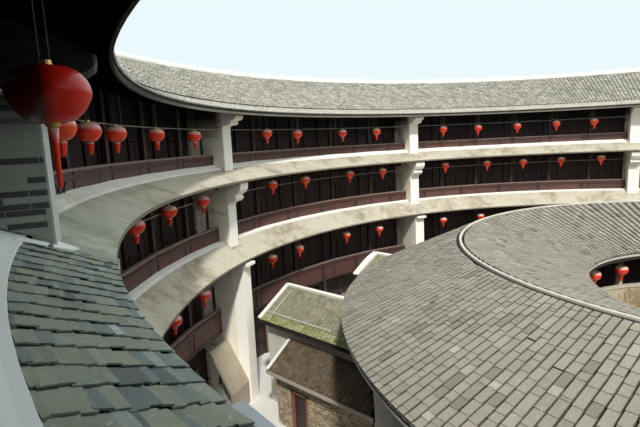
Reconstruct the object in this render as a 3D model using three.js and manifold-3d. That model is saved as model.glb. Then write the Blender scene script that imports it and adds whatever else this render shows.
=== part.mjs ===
// A four-storey earth roundhouse with firewalls, a two-storey inner ring and small yard houses.
// The sizes below are those of the real house in millimetres, with the z axis up and the ground
// at z = 0. The whole group is then scaled to a 1:2 model.
// Angles run anticlockwise from +X seen from above. The gate faces -Y.
import * as THREE from 'three';
import { mergeVertices } from 'three/addons/utils/BufferGeometryUtils.js';
import Module from 'manifold-3d';

const wasm = await Module();
wasm.setup();

// Driving dimensions
const MODEL_SCALE = 0.5;
const GAP = 0.6;

// How far a cutter reaches past what it cuts, through a thin piece and through a wall
const PAST = 100;
const THROUGH = 500;

const SECTORS = 8;
const AXIS_BAYS = 5;
const SIDE_BAYS = 6;

const WALL_FOOT_R = 28600;
const WALL_IN_R = 27200;
const WALL_BATTER = 400;
const PLINTH_H = 1100;

const FLOOR_TOPS = [0, 3800, 7700, 11150];
const FLOOR_T = 260;
const FRONT_R = 22950;
const FRONT_T = 120;

const RIDGE_R = 25500;
const RIDGE_Z = 16950;
const EAVE_IN_R = 19900;
const EAVE_IN_Z = 14200;
const EAVE_OUT_R = 30900;
const EAVE_OUT_Z = 14050;
const ROOF_T = 300;

const PARAPET_R = [0, 21850, 21600, 21600];
const PARAPET_T = 90;
const KERB_R = [0, 0, 21200, 21100];

const FIREWALL_T = 700;
const FIREWALL_TIE_R = 22100;

const INNER_FACETS = 40;
const INNER_WALL_R = 13750;
const INNER_EAVE_R = 14700;
const INNER_EAVE_Z = 6650;
const INNER_RIDGE_R = 10400;
const INNER_RIDGE_Z = 8650;
const COURT_EAVE_R = 5850;
const COURT_EAVE_Z = 7050;
const INNER_ROOF_T = 250;
const INNER_FLOOR_TOP = 3800;

// Materials
const earth = colour(0xb59a72, 0.95);
const stone = colour(0x8d8a80, 0.9);
const plaster = colour(0xc9c2ae, 0.9);
const timber = colour(0x3a2119, 0.8);
const boards = colour(0x5a3a28, 0.8);
const tiles = colour(0x7c7a70, 0.85);
const mortar = colour(0xd8d4c4, 0.9);

function colour(hex, roughness) {
  return new THREE.MeshStandardMaterial({ color: hex, roughness, metalness: 0 });
}

// Turning geometries into solids and back
function solid(geometry) {
  const bare = geometry.clone();
  bare.deleteAttribute('normal');
  bare.deleteAttribute('uv');
  const merged = mergeVertices(bare);
  const points = Float32Array.from(merged.attributes.position.array);
  const triangles = Uint32Array.from(merged.index.array);
  if (signedVolume(points, triangles) < 0) {
    triangles.reverse();
  }
  return new wasm.Manifold(new wasm.Mesh({ numProp: 3, vertProperties: points, triVerts: triangles }));
}

function signedVolume(points, triangles) {
  const corner = (index) => new THREE.Vector3().fromArray(points, 3 * triangles[index]);
  let volume = 0;
  for (let i = 0; i < triangles.length; i += 3) {
    volume += corner(i).dot(corner(i + 1).cross(corner(i + 2)));
  }
  return volume;
}

const house = new THREE.Group();
house.scale.setScalar(MODEL_SCALE);

function piece(name, shape, material) {
  const { vertProperties, triVerts } = shape.getMesh();
  const geometry = new THREE.BufferGeometry();
  geometry.setAttribute('position', new THREE.BufferAttribute(vertProperties, 3));
  geometry.setIndex(new THREE.BufferAttribute(triVerts, 1));
  geometry.computeVertexNormals();
  const mesh = new THREE.Mesh(geometry, material);
  mesh.name = name;
  house.add(mesh);
  return mesh;
}

// Places around the ring
const rad = THREE.MathUtils.degToRad;
const SECTOR_ANGLE = rad(360 / SECTORS);
const FIRST_FIREWALL = rad(-90) - SECTOR_ANGLE / 2;

function firewallAngle(index) {
  return FIRST_FIREWALL + index * SECTOR_ANGLE;
}

function bayCount(sector) {
  return sector % (SECTORS / 2) === 0 ? AXIS_BAYS : SIDE_BAYS;
}

// Angles at every fraction of a bay, all the way round
function ringAngles(stepsPerBay = 1) {
  const angles = [];
  for (let sector = 0; sector < SECTORS; sector += 1) {
    const steps = bayCount(sector) * stepsPerBay;
    for (let step = 0; step < steps; step += 1) {
      angles.push(firewallAngle(sector) + (SECTOR_ANGLE * step) / steps);
    }
  }
  return angles;
}

function bayCentres() {
  return ringAngles(2).filter((angle, index) => index % 2 === 1);
}

function postAngles() {
  const firewalls = Array.from({ length: SECTORS }, (_, index) => firewallAngle(index));
  return ringAngles().filter((angle) => firewalls.every((wall) => Math.abs(wall - angle) > 0.01));
}

// A closed r-z outline swept round the house, with a corner at each bay line
function ring(outline) {
  return sweep(outline, ringAngles());
}

// The same round the inner ring, with even facets
function innerSweep(outline) {
  return sweep(outline, evenAngles(INNER_FACETS, 0));
}

function evenAngles(count, first) {
  return Array.from({ length: count }, (_, index) => first + (index * 2 * Math.PI) / count);
}

function sweep(outline, angles) {
  const closed = [...outline, outline[0]];
  const lathe = new THREE.LatheGeometry(closed.map(([r, z]) => new THREE.Vector2(r, z)), angles.length);
  for (let turn = 0; turn <= angles.length; turn += 1) {
    const angle = angles[turn % angles.length];
    closed.forEach(([r, z], point) => {
      const index = turn * closed.length + point;
      lathe.attributes.position.setXYZ(index, r * Math.cos(angle), r * Math.sin(angle), z);
    });
  }
  return solid(lathe);
}

// Outlines in r and z
function band(r0, r1, z0, z1) {
  return [[r0, z0], [r1, z0], [r1, z1], [r0, z1]];
}

function slope(rA, zA, rB, zB, thickness) {
  return [[rA, zA - thickness], [rB, zB - thickness], [rB, zB], [rA, zA]];
}

function box(x0, x1, y0, y1, z0, z1) {
  const shape = new THREE.BoxGeometry(x1 - x0, y1 - y0, z1 - z0);
  return shape.translate((x0 + x1) / 2, (y0 + y1) / 2, (z0 + z1) / 2);
}

// A box that points away from the middle of the house
function spoke(angle, r0, r1, width, z0, z1) {
  return solid(box(r0, r1, -width / 2, width / 2, z0, z1).rotateZ(angle));
}

// An x-z outline drawn out along y
function slab(points, y0, y1) {
  const outline = new THREE.Shape(points.map(([x, z]) => new THREE.Vector2(x, z)));
  const shape = new THREE.ExtrudeGeometry(outline, { depth: y1 - y0, bevelEnabled: false });
  return solid(shape.rotateX(Math.PI / 2).translate(0, y1, 0));
}

function cutAll(shape, cutters) {
  return cutters.reduce((rest, cutter) => rest.subtract(cutter), shape);
}

// Main roof: two slopes that lean on a mortar ridge
const RIDGE_HALF = 260;
const RIDGE_CAP = 250;
const RIDGE_LAP = 60;

function slopeZ(r) {
  const inward = (RIDGE_Z - EAVE_IN_Z) / (RIDGE_R - EAVE_IN_R);
  const outward = (RIDGE_Z - EAVE_OUT_Z) / (EAVE_OUT_R - RIDGE_R);
  return r < RIDGE_R ? RIDGE_Z - (RIDGE_R - r) * inward : RIDGE_Z - (r - RIDGE_R) * outward;
}

// Height just under the main roof
function underRoof(r) {
  return slopeZ(r) - ROOF_T - GAP;
}

function addMainRoof() {
  const inEnd = RIDGE_R - RIDGE_HALF - GAP;
  const outEnd = RIDGE_R + RIDGE_HALF + GAP;
  piece('main_roof_inner_slope', ring(slope(EAVE_IN_R, EAVE_IN_Z, inEnd, slopeZ(inEnd), ROOF_T)), tiles);
  piece('main_roof_outer_slope', ring(slope(outEnd, slopeZ(outEnd), EAVE_OUT_R, EAVE_OUT_Z, ROOF_T)), tiles);
  const ridgeFoot = underRoof(inEnd) + RIDGE_LAP;
  const ridge = band(RIDGE_R - RIDGE_HALF, RIDGE_R + RIDGE_HALF, ridgeFoot, RIDGE_Z + RIDGE_CAP);
  piece('main_ridge', ring(ridge), mortar);
}

// Gate: an arched stone frame through the outer wall
const GATE_W = 1800;
const GATE_SPRING = 2050;
const GATE_FRAME = 450;
const GATE_PROUD = 150;

function gateBlock(halfWidth, z0, y0, y1) {
  const shape = new THREE.Shape();
  shape.moveTo(-halfWidth, z0);
  shape.lineTo(halfWidth, z0);
  shape.lineTo(halfWidth, GATE_SPRING);
  shape.absarc(0, GATE_SPRING, halfWidth, 0, Math.PI, false);
  const settings = { depth: y1 - y0, bevelEnabled: false, curveSegments: 6 };
  return solid(new THREE.ExtrudeGeometry(shape, settings).rotateX(Math.PI / 2).translate(0, y1, 0));
}

function addGate() {
  const outside = -WALL_FOOT_R - GATE_PROUD;
  const inside = -WALL_IN_R + GATE_PROUD;
  const whole = gateBlock(GATE_W / 2 + GATE_FRAME, 0, outside, inside);
  const hole = gateBlock(GATE_W / 2, -PAST, outside - PAST, inside + PAST);
  piece('gate_frame', whole.subtract(hole), stone);
}

function gateCutter() {
  const half = GATE_W / 2 + GATE_FRAME + GAP;
  return gateBlock(half, -PAST, -WALL_FOOT_R - THROUGH, -WALL_IN_R + THROUGH);
}

// Outer wall: a stone plinth and eight earth segments with small windows
const PLINTH_STEP = 80;
const TOP_WINDOW = { width: 560, height: 760, sill: 1000, storey: 3, every: 1 };
const LOW_WINDOW = { width: 360, height: 620, sill: 1150, storey: 2, every: 2 };

function windowCutters(kind) {
  const z0 = FLOOR_TOPS[kind.storey] + kind.sill;
  const places = bayCentres().filter((angle, index) => index % kind.every === 0);
  return places.map((angle) =>
    spoke(angle, WALL_IN_R - THROUGH, WALL_FOOT_R + THROUGH, kind.width, z0, z0 + kind.height));
}

// The space of one sector, less half a gap on each side
function wedge(sector) {
  const half = SECTOR_ANGLE / 2;
  const reach = WALL_FOOT_R * 1.2;
  const corner = (angle) => new THREE.Vector2(reach * Math.cos(angle), reach * Math.sin(angle));
  const outline = new THREE.Shape([new THREE.Vector2(0, 0), corner(-half), corner(half)]);
  const shape = new THREE.ExtrudeGeometry(outline, { depth: RIDGE_Z, bevelEnabled: false });
  shape.translate(GAP / 2 / Math.sin(half), 0, 0);
  return solid(shape.rotateZ(firewallAngle(sector) + half));
}

function addOuterWall() {
  piece('stone_plinth', ring(band(WALL_IN_R, WALL_FOOT_R, 0, PLINTH_H)).subtract(gateCutter()), stone);
  const wallTopR = WALL_FOOT_R - WALL_BATTER;
  const wall = ring([
    [WALL_IN_R, PLINTH_H + GAP],
    [WALL_FOOT_R - PLINTH_STEP, PLINTH_H + GAP],
    [wallTopR, underRoof(wallTopR)],
    [WALL_IN_R, underRoof(WALL_IN_R)],
  ]);
  const holes = [gateCutter(), ...windowCutters(TOP_WINDOW), ...windowCutters(LOW_WINDOW)];
  const whole = cutAll(wall, holes);
  for (let sector = 0; sector < SECTORS; sector += 1) {
    piece(`outer_wall_${sector + 1}`, whole.intersect(wedge(sector)), earth);
  }
}

// Galleries: a floor, a kerb on the upper two, a parapet with posts, and the timber front of the rooms
const KERB_FRONTS = [0, 0, 8080, 11600];
const KERB_BACKS = [0, 0, 8170, 11820];
const RAIL_TOPS = [0, 4710, 8800, 12250];
const PARAPET_DROP = 280;
const POST = 200;
const POST_LAP = 30;
const DOOR = { width: 850, height: 1900 };
const PASSAGE = { width: 2400, height: 2900 };

function ceiling(storey) {
  return FLOOR_TOPS[storey + 1] - FLOOR_T - GAP;
}

// The lowest parapet hangs in front of its floor, and the others stand on the floor behind the kerb
function hangs(storey) {
  return storey === 1;
}

function floorOutline(storey) {
  const edge = hangs(storey) ? PARAPET_R[storey] + PARAPET_T + GAP : KERB_R[storey];
  return band(edge, WALL_IN_R - GAP, FLOOR_TOPS[storey] - FLOOR_T, FLOOR_TOPS[storey]);
}

// The kerb stands on the edge of the floor, and its top rises to the parapet
function kerbOutline(storey) {
  const outline = band(KERB_R[storey], PARAPET_R[storey] - GAP, FLOOR_TOPS[storey] + GAP, 0);
  outline[2][1] = KERB_BACKS[storey];
  outline[3][1] = KERB_FRONTS[storey];
  return outline;
}

function parapetOutline(storey) {
  const r = PARAPET_R[storey];
  const foot = FLOOR_TOPS[storey] + (hangs(storey) ? -PARAPET_DROP : GAP);
  return band(r, r + PARAPET_T, foot, RAIL_TOPS[storey]);
}

function frontOutline(storey) {
  const foot = FLOOR_TOPS[storey] + (storey === 0 ? 0 : GAP);
  const outline = band(FRONT_R, FRONT_R + FRONT_T, foot, 0);
  const top = (r) => (storey === 3 ? underRoof(r) : ceiling(storey));
  outline[2][1] = top(FRONT_R + FRONT_T);
  outline[3][1] = top(FRONT_R);
  return outline;
}

// The firewalls run through the floors beyond this radius
function firewallSlots() {
  return Array.from({ length: SECTORS }, (_, index) =>
    spoke(firewallAngle(index), FIREWALL_TIE_R, WALL_IN_R + THROUGH, FIREWALL_T + 2 * GAP, 0, RIDGE_Z));
}

function addFloors() {
  for (let storey = 1; storey <= 3; storey += 1) {
    piece(`gallery_floor_${storey + 1}`, cutAll(ring(floorOutline(storey)), firewallSlots()), boards);
  }
}

function addKerbs() {
  for (let storey = 2; storey <= 3; storey += 1) {
    piece(`gallery_kerb_${storey + 1}`, ring(kerbOutline(storey)), mortar);
  }
}

function doorCutters(storey) {
  const z0 = FLOOR_TOPS[storey];
  return bayCentres().map((angle, index) => {
    const gateBay = storey === 0 && index === (AXIS_BAYS - 1) / 2;
    const size = gateBay ? PASSAGE : DOOR;
    return spoke(angle, FRONT_R - THROUGH, FRONT_R + THROUGH, size.width, z0 - PAST, z0 + size.height);
  });
}

function addRoomFronts() {
  for (let storey = 0; storey <= 3; storey += 1) {
    piece(`room_front_${storey + 1}`, cutAll(ring(frontOutline(storey)), doorCutters(storey)), timber);
  }
}

// Parapet of a gallery, joined to the posts that stand behind it
function addParapets() {
  for (let storey = 1; storey <= 3; storey += 1) {
    const outline = parapetOutline(storey);
    const r0 = outline[1][0] - POST_LAP;
    const foot = FLOOR_TOPS[storey] + GAP;
    const head = storey === 3 ? underRoof(r0) : ceiling(storey);
    const posts = postAngles().map((angle) => spoke(angle, r0, r0 + POST, POST, foot, head));
    const shape = posts.reduce((whole, post) => whole.add(post), ring(outline));
    piece(`gallery_parapet_${storey + 1}`, shape, timber);
  }
}

// Skirt roofs under the third and fourth galleries
const SKIRT_T = 160;
const SKIRTS = [
  { name: 'skirt_roof_lower', rTop: KERB_R[2], zTop: 8030, rEave: 20200, zEave: 7250 },
  { name: 'skirt_roof_upper', rTop: KERB_R[3], zTop: 11560, rEave: 20100, zEave: 11030 },
];

function addSkirts() {
  for (const { name, rTop, zTop, rEave, zEave } of SKIRTS) {
    piece(name, ring(slope(rEave, zEave, rTop - GAP, zTop, SKIRT_T)), tiles);
  }
}

// Firewalls: masonry fins with a scrolled head under each eave and a doorway on each floor
const PIER_R = 20400;
const FIN_R = 20950;
const DEEP_FIN = { index: 2, r: 20800 };
const PIER_CAP = { reach: 300, height: 140, flare: 40 };
const HEAD = { reach: 750, neck: 1000 };
const TOP_HEAD = { reach: 750, neck: 520 };
const WALKWAY = { r0: FIREWALL_TIE_R, r1: 22750, height: 2050 };

// A flat fin crosses round pieces, so its slots are this much wider on the inside
const BEND = 30;

function scroll(shape, finR, tipZ, head) {
  const neckZ = tipZ - head.neck;
  const r = (part) => finR - part * head.reach;
  const z = (part) => neckZ + part * head.neck;
  shape.lineTo(r(0), z(0));
  shape.lineTo(r(0.1), z(0.12));
  shape.quadraticCurveTo(r(0.85), z(0.2), r(0.55), z(0.5));
  shape.quadraticCurveTo(r(1.05), z(0.6), r(1), z(1));
}

function prism(outline) {
  return slab(outline, -FIREWALL_T, FIREWALL_T);
}

function firewallBody(finR) {
  const [lower, upper] = SKIRTS;
  const capTop = lower.zEave - SKIRT_T - GAP;
  const end = WALL_IN_R - BEND;
  const shape = new THREE.Shape();
  shape.moveTo(end, 0);
  shape.lineTo(PIER_R, 0);
  shape.lineTo(PIER_R, capTop - PIER_CAP.height - PIER_CAP.flare);
  shape.lineTo(PIER_R - PIER_CAP.reach, capTop - PIER_CAP.height);
  shape.lineTo(PIER_R - PIER_CAP.reach, capTop);
  shape.lineTo(finR, capTop);
  scroll(shape, finR, upper.zEave - SKIRT_T, HEAD);
  shape.lineTo(finR - HEAD.reach, upper.zEave);
  shape.lineTo(finR, upper.zEave);
  scroll(shape, finR, underRoof(finR - TOP_HEAD.reach), TOP_HEAD);
  shape.lineTo(RIDGE_R - RIDGE_HALF, underRoof(RIDGE_R - RIDGE_HALF));
  shape.lineTo(RIDGE_R + RIDGE_HALF, underRoof(RIDGE_R + RIDGE_HALF) - BEND);
  shape.lineTo(end, underRoof(end) - BEND);
  const settings = { depth: FIREWALL_T, bevelEnabled: false, curveSegments: 3 };
  const fin = new THREE.ExtrudeGeometry(shape, settings).rotateX(Math.PI / 2);
  return solid(fin.translate(0, FIREWALL_T / 2, 0));
}

function slotFor(outline) {
  const [[r0, z0], [r1], [, zOut], [, zIn]] = outline;
  return prism([
    [r0 - BEND, z0 - GAP],
    [r1 + GAP, z0 - GAP],
    [r1 + GAP, zOut + BEND],
    [r0 - BEND, zIn + BEND],
  ]);
}

function skirtSlot({ rTop, zTop, rEave, zEave }) {
  const fall = (zTop - zEave) / (rTop - rEave);
  const z = (r) => zEave + (r - rEave) * fall;
  const under = SKIRT_T + 2 * GAP;
  const r0 = rEave - BEND;
  const r1 = rTop + GAP;
  return prism([[r0, z(r0) - under], [r1, z(r1) - under], [r1, z(r1) + BEND], [r0, z(r0) + BEND]]);
}

function firewallCutters() {
  const cutters = SKIRTS.map(skirtSlot);
  for (let storey = 0; storey <= 3; storey += 1) {
    const z0 = FLOOR_TOPS[storey];
    cutters.push(slotFor(frontOutline(storey)));
    cutters.push(prism(band(WALKWAY.r0, WALKWAY.r1, storey === 0 ? -PAST : z0, z0 + WALKWAY.height)));
  }
  for (let storey = 1; storey <= 3; storey += 1) {
    const [[edge, z0]] = floorOutline(storey);
    cutters.push(slotFor(band(edge, FIREWALL_TIE_R, z0, FLOOR_TOPS[storey])));
    cutters.push(slotFor(parapetOutline(storey)));
  }
  return [...cutters, slotFor(kerbOutline(2)), slotFor(kerbOutline(3))];
}

// One of the eight stands a little farther into the yard than the others
function addFirewalls() {
  const cutters = firewallCutters();
  const fin = cutAll(firewallBody(FIN_R), cutters);
  const deepFin = cutAll(firewallBody(DEEP_FIN.r), cutters);
  for (let index = 0; index < SECTORS; index += 1) {
    const shape = index === DEEP_FIN.index ? deepFin : fin;
    const mesh = piece(`firewall_${index + 1}`, shape, plaster);
    mesh.rotation.z = firewallAngle(index);
  }
}

// Inner ring: a round two-storey house open to a small court
const INNER_WALL_T = 300;
const INNER_FRONT_R = 8200;
const COURT_POST_R = 6600;
const COURT_POSTS = 16;
const COURT_BEAM = 280;
const COURT_LIP = 100;
const BALUSTRADE_TOP = 5300;
const BALUSTRADE_T = 120;
const INNER_DOOR = { width: 1600, height: 2500 };
const INNER_RIDGE_HALF = 110;
const INNER_RIDGE_CAP = 130;

function innerSlopeZ(r) {
  const outward = (INNER_RIDGE_Z - INNER_EAVE_Z) / (INNER_EAVE_R - INNER_RIDGE_R);
  const inward = (INNER_RIDGE_Z - COURT_EAVE_Z) / (INNER_RIDGE_R - COURT_EAVE_R);
  const fall = r > INNER_RIDGE_R ? outward : inward;
  return INNER_RIDGE_Z - Math.abs(r - INNER_RIDGE_R) * fall;
}

function underInner(r) {
  return innerSlopeZ(r) - INNER_ROOF_T - GAP;
}

// A round wall that reaches up to the inner ring's roof
function wallToRoof(r0, r1, z0) {
  return innerSweep([[r0, z0], [r1, z0], [r1, underInner(r1)], [r0, underInner(r0)]]);
}

function innerDoorways() {
  const half = INNER_DOOR.width / 2;
  return [-1, 1].map((side) =>
    solid(box(-half, half, 0, side * (INNER_WALL_R + THROUGH), -PAST, INNER_DOOR.height)));
}

function addInnerWalls() {
  const under = INNER_FLOOR_TOP - FLOOR_T;
  const inside = INNER_WALL_R - INNER_WALL_T;
  const frontEnd = INNER_FRONT_R + FRONT_T;
  const floorEdge = COURT_POST_R - COURT_LIP;
  piece('inner_ring_wall', cutAll(wallToRoof(inside, INNER_WALL_R, 0), innerDoorways()), plaster);
  piece('inner_ring_floor', innerSweep(band(floorEdge, inside - GAP, under, INNER_FLOOR_TOP)), boards);
  const front = innerSweep(band(INNER_FRONT_R, frontEnd, 0, under - GAP));
  piece('inner_ring_front_1', cutAll(front, innerDoorways()), timber);
  piece('inner_ring_front_2', wallToRoof(INNER_FRONT_R, frontEnd, INNER_FLOOR_TOP + GAP), timber);
}

function addInnerRoof() {
  const half = INNER_RIDGE_HALF;
  const outEnd = INNER_RIDGE_R + half + GAP;
  const courtEnd = INNER_RIDGE_R - half - GAP;
  const outer = slope(INNER_EAVE_R, INNER_EAVE_Z, outEnd, innerSlopeZ(outEnd), INNER_ROOF_T);
  const court = slope(COURT_EAVE_R, COURT_EAVE_Z, courtEnd, innerSlopeZ(courtEnd), INNER_ROOF_T);
  const ridge = band(
    INNER_RIDGE_R - half,
    INNER_RIDGE_R + half,
    underInner(outEnd) + GAP,
    INNER_RIDGE_Z + INNER_RIDGE_CAP,
  );
  piece('inner_roof_outer_slope', innerSweep(outer), tiles);
  piece('inner_roof_court_slope', innerSweep(court), tiles);
  piece('inner_ridge', innerSweep(ridge), mortar);
}

function courtPosts(r0, z0, z1) {
  const angles = evenAngles(COURT_POSTS, Math.PI / COURT_POSTS);
  return angles.map((angle) => spoke(angle, r0, r0 + POST, POST, z0, z1));
}

// Each storey's posts round the court are held by a beam or by the balustrade
function addCourtPosts() {
  const join = (shape, posts) => posts.reduce((whole, post) => whole.add(post), shape);
  const beamTop = INNER_FLOOR_TOP - FLOOR_T - GAP;
  const beamFoot = beamTop - COURT_BEAM;
  const beam = innerSweep(band(COURT_POST_R - COURT_LIP, COURT_POST_R + POST, beamFoot, beamTop));
  const lower = join(beam, courtPosts(COURT_POST_R - POST / 2, 0, beamTop - COURT_BEAM / 2));
  piece('inner_ring_posts', lower, timber);
  const foot = INNER_FLOOR_TOP + GAP;
  const r0 = COURT_POST_R - BALUSTRADE_T / 2;
  const rail = innerSweep(band(r0, r0 + BALUSTRADE_T, foot, BALUSTRADE_TOP));
  const upper = join(rail, courtPosts(r0 + BALUSTRADE_T / 2, foot, underInner(r0 + BALUSTRADE_T / 2)));
  piece('inner_ring_balustrade', upper, stone);
}

// Yard houses between the galleries and the inner ring
const innerWallCutter = innerSweep(band(COURT_EAVE_R, INNER_WALL_R + GAP, -PAST, INNER_RIDGE_Z));
const YARD_WALL = 250;
const YARD_ROOF_T = 180;
const VERGE = 250;
const PORCH = { x: 0, half: 1900, ridgeZ: 6150, eaveZ: 5300, y0: -17100, y1: -13300 };
const PORCH_WALL = { half: 1600, doorHalf: 650, doorTop: 2400 };
const SIDE_HOUSE = { x: 5700, half: 2000, ridgeZ: 5500, eaveZ: 4300, y0: -18350, y1: -11000 };
const SIDE_WALL = { half: 1650, doorHalf: 450, doorTop: 2100 };
const LEAN_TO = { x1: 8800, z0: 3600, z1: 2650, y0: -16600, y1: -10500 };
const LEAN_TO_WALL = { x: 8450, doorY0: -15400, doorY1: -14400, doorTop: 1950 };

function gable({ x, half, ridgeZ, eaveZ, y0, y1 }) {
  const low = eaveZ - YARD_ROOF_T;
  return slab([
    [x - half, eaveZ], [x, ridgeZ], [x + half, eaveZ],
    [x + half, low], [x, ridgeZ - YARD_ROOF_T], [x - half, low],
  ], y0, y1);
}

// Everything above the underside of a gable
function overGable({ x, half, ridgeZ, eaveZ, y0, y1 }) {
  const reach = half + PAST;
  const z = ridgeZ - YARD_ROOF_T - GAP;
  const low = z - ((ridgeZ - eaveZ) * reach) / half;
  const high = ridgeZ + PAST;
  const points = [[x - reach, low], [x, z], [x + reach, low], [x + reach, high], [x - reach, high]];
  return slab(points, y0, y1 + PAST);
}

// Three walls that end at the inner ring
function shellWalls(x0, x1, y0, y1, top) {
  const outside = solid(box(x0, x1, y0, y1, 0, top));
  const inward = Math.sign(x1 - x0) * YARD_WALL;
  const inside = box(x0 + inward, x1 - inward, y0 + YARD_WALL, y1 + PAST, -PAST, top + PAST);
  return outside.subtract(solid(inside));
}

// Gable roof and walls of a house, and a doorway in the end that faces away from the inner ring
function addGabled(form, wall, roofName, wallsName) {
  const { x, y0, y1, ridgeZ } = form;
  const doorway = solid(box(x - wall.doorHalf, x + wall.doorHalf, y0, y0 + THROUGH, -PAST, wall.doorTop));
  const walls = shellWalls(x - wall.half, x + wall.half, y0 + VERGE, y1, ridgeZ);
  piece(roofName, gable(form).subtract(innerWallCutter), tiles);
  piece(wallsName, cutAll(walls, [overGable(form), doorway, innerWallCutter]), plaster);
}

function addPorch() {
  addGabled(PORCH, PORCH_WALL, 'porch_roof', 'porch_walls');
}

function addSideHouse() {
  addGabled(SIDE_HOUSE, SIDE_WALL, 'side_house_roof', 'side_house_walls');
}

// A lower roof and its walls against the side house
function addLeanTo() {
  const { z0, x1, z1, y0, y1 } = LEAN_TO;
  const wall = LEAN_TO_WALL;
  const houseWall = SIDE_HOUSE.x + SIDE_WALL.half;
  const x0 = houseWall + GAP;
  const low = YARD_ROOF_T + GAP;
  const roof = [[x0, z0], [x1, z1], [x1, z1 - YARD_ROOF_T], [x0, z0 - YARD_ROOF_T]];
  const over = [
    [houseWall, z0 - low], [x0, z0 - low], [x1, z1 - low],
    [x1, z0 + PAST], [houseWall, z0 + PAST],
  ];
  const outside = solid(box(x0, wall.x, y0 + VERGE, y1, 0, z0));
  const inX = wall.x - YARD_WALL;
  const inside = box(x0 - PAST, inX, y0 + VERGE + YARD_WALL, y1 + PAST, -PAST, z0 + PAST);
  const doorway = box(inX - PAST, wall.x + PAST, wall.doorY0, wall.doorY1, -PAST, wall.doorTop);
  const cutters = [solid(inside), solid(doorway), slab(over, y0, y1 + PAST), innerWallCutter];
  piece('lean_to_roof', slab(roof, y0, y1).subtract(innerWallCutter), tiles);
  piece('lean_to_walls', cutAll(outside, cutters), stone);
}

// A small store against a firewall: a front wall and a steep cover, open to the gallery behind
const STORE = { firewall: 1, r0: 20500, r1: 21550, kneeZ: 1150, topZ: 3150, width: 1550, wall: 120 };

function addStore() {
  const { firewall, r0, r1, kneeZ, topZ, width, wall } = STORE;
  const start = FIREWALL_T / 2 + GAP;
  const outline = [[r0, 0], [r0 + wall, 0], [r0 + wall, kneeZ], [r1 + wall, topZ], [r1, topZ], [r0, kneeZ]];
  const mesh = piece('wall_store', slab(outline, start, start + width), plaster);
  mesh.rotation.z = firewallAngle(firewall);
}

addOuterWall();
addGate();
addFirewalls();
addFloors();
addKerbs();
addRoomFronts();
addParapets();
addSkirts();
addMainRoof();
addInnerWalls();
addCourtPosts();
addInnerRoof();
addPorch();
addSideHouse();
addLeanTo();
addStore();

export default house;
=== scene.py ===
"""Looks of the roundhouse: tiles, rails, boards, doors, lanterns, materials, light and camera.

Sizes in this script are those of the real house in metres. SCALE turns them into the model's.
Angles run anticlockwise from +X seen from above, as in the frame.
"""

import math

import bpy
import numpy as np
from mathutils import Matrix, Vector


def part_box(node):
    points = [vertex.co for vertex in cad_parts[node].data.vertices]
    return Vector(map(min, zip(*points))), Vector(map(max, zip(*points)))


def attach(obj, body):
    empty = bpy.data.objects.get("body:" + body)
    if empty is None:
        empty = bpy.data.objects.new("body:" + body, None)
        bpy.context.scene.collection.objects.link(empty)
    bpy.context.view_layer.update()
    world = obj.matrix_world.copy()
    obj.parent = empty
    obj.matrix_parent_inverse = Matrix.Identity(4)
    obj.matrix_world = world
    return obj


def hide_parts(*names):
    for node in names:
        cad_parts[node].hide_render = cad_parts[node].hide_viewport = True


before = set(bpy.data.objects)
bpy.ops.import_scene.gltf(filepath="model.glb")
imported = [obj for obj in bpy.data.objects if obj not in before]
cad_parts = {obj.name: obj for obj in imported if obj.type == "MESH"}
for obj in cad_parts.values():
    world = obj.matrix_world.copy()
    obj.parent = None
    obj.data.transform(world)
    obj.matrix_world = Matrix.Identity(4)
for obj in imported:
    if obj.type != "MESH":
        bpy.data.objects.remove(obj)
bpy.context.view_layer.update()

SCALE = 0.5
SECTORS = 8
SECTOR = math.tau / SECTORS
FIRST_FIREWALL = -math.pi / 2 - SECTOR / 2
AXIS_BAYS = 5
SIDE_BAYS = 6
ROUND = 240


def add_object(name, data):
    thing = bpy.data.objects.new(name, data)
    bpy.context.scene.collection.objects.link(thing)
    return thing


# Camera, as solved from the photo's eaves, rails and firewalls

EYE_RADIUS = 21.46
EYE_ANGLE = math.radians(-1.76)
EYE_HEIGHT = 12.7
LOOK_AZIMUTH = math.radians(223.82)
LOOK_DOWN = 0.150667
LOOK_ROLL = -0.0467695
FOCAL_PIXELS = 476.377
PHOTO_WIDTH = 640


def add_camera():
    data = bpy.data.cameras.new("photo_camera")
    data.sensor_width = 36
    data.lens = FOCAL_PIXELS / PHOTO_WIDTH * data.sensor_width
    data.clip_start = 0.05
    data.clip_end = 500
    camera = add_object("photo_camera", data)
    flat = Vector((math.cos(LOOK_AZIMUTH), math.sin(LOOK_AZIMUTH), 0))
    ahead = flat * math.cos(LOOK_DOWN) - Vector((0, 0, math.sin(LOOK_DOWN)))
    level = Vector((flat.y, -flat.x, 0))
    above = level.cross(ahead)
    right = level * math.cos(LOOK_ROLL) + above * math.sin(LOOK_ROLL)
    up = above * math.cos(LOOK_ROLL) - level * math.sin(LOOK_ROLL)
    place = Matrix((right, up, -ahead)).transposed().to_4x4()
    eye = Vector((EYE_RADIUS * math.cos(EYE_ANGLE), EYE_RADIUS * math.sin(EYE_ANGLE), EYE_HEIGHT))
    place.translation = eye * SCALE
    camera.matrix_world = place
    bpy.context.scene.camera = camera


add_camera()


# Shader nodes

MATERIALS = {}


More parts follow.
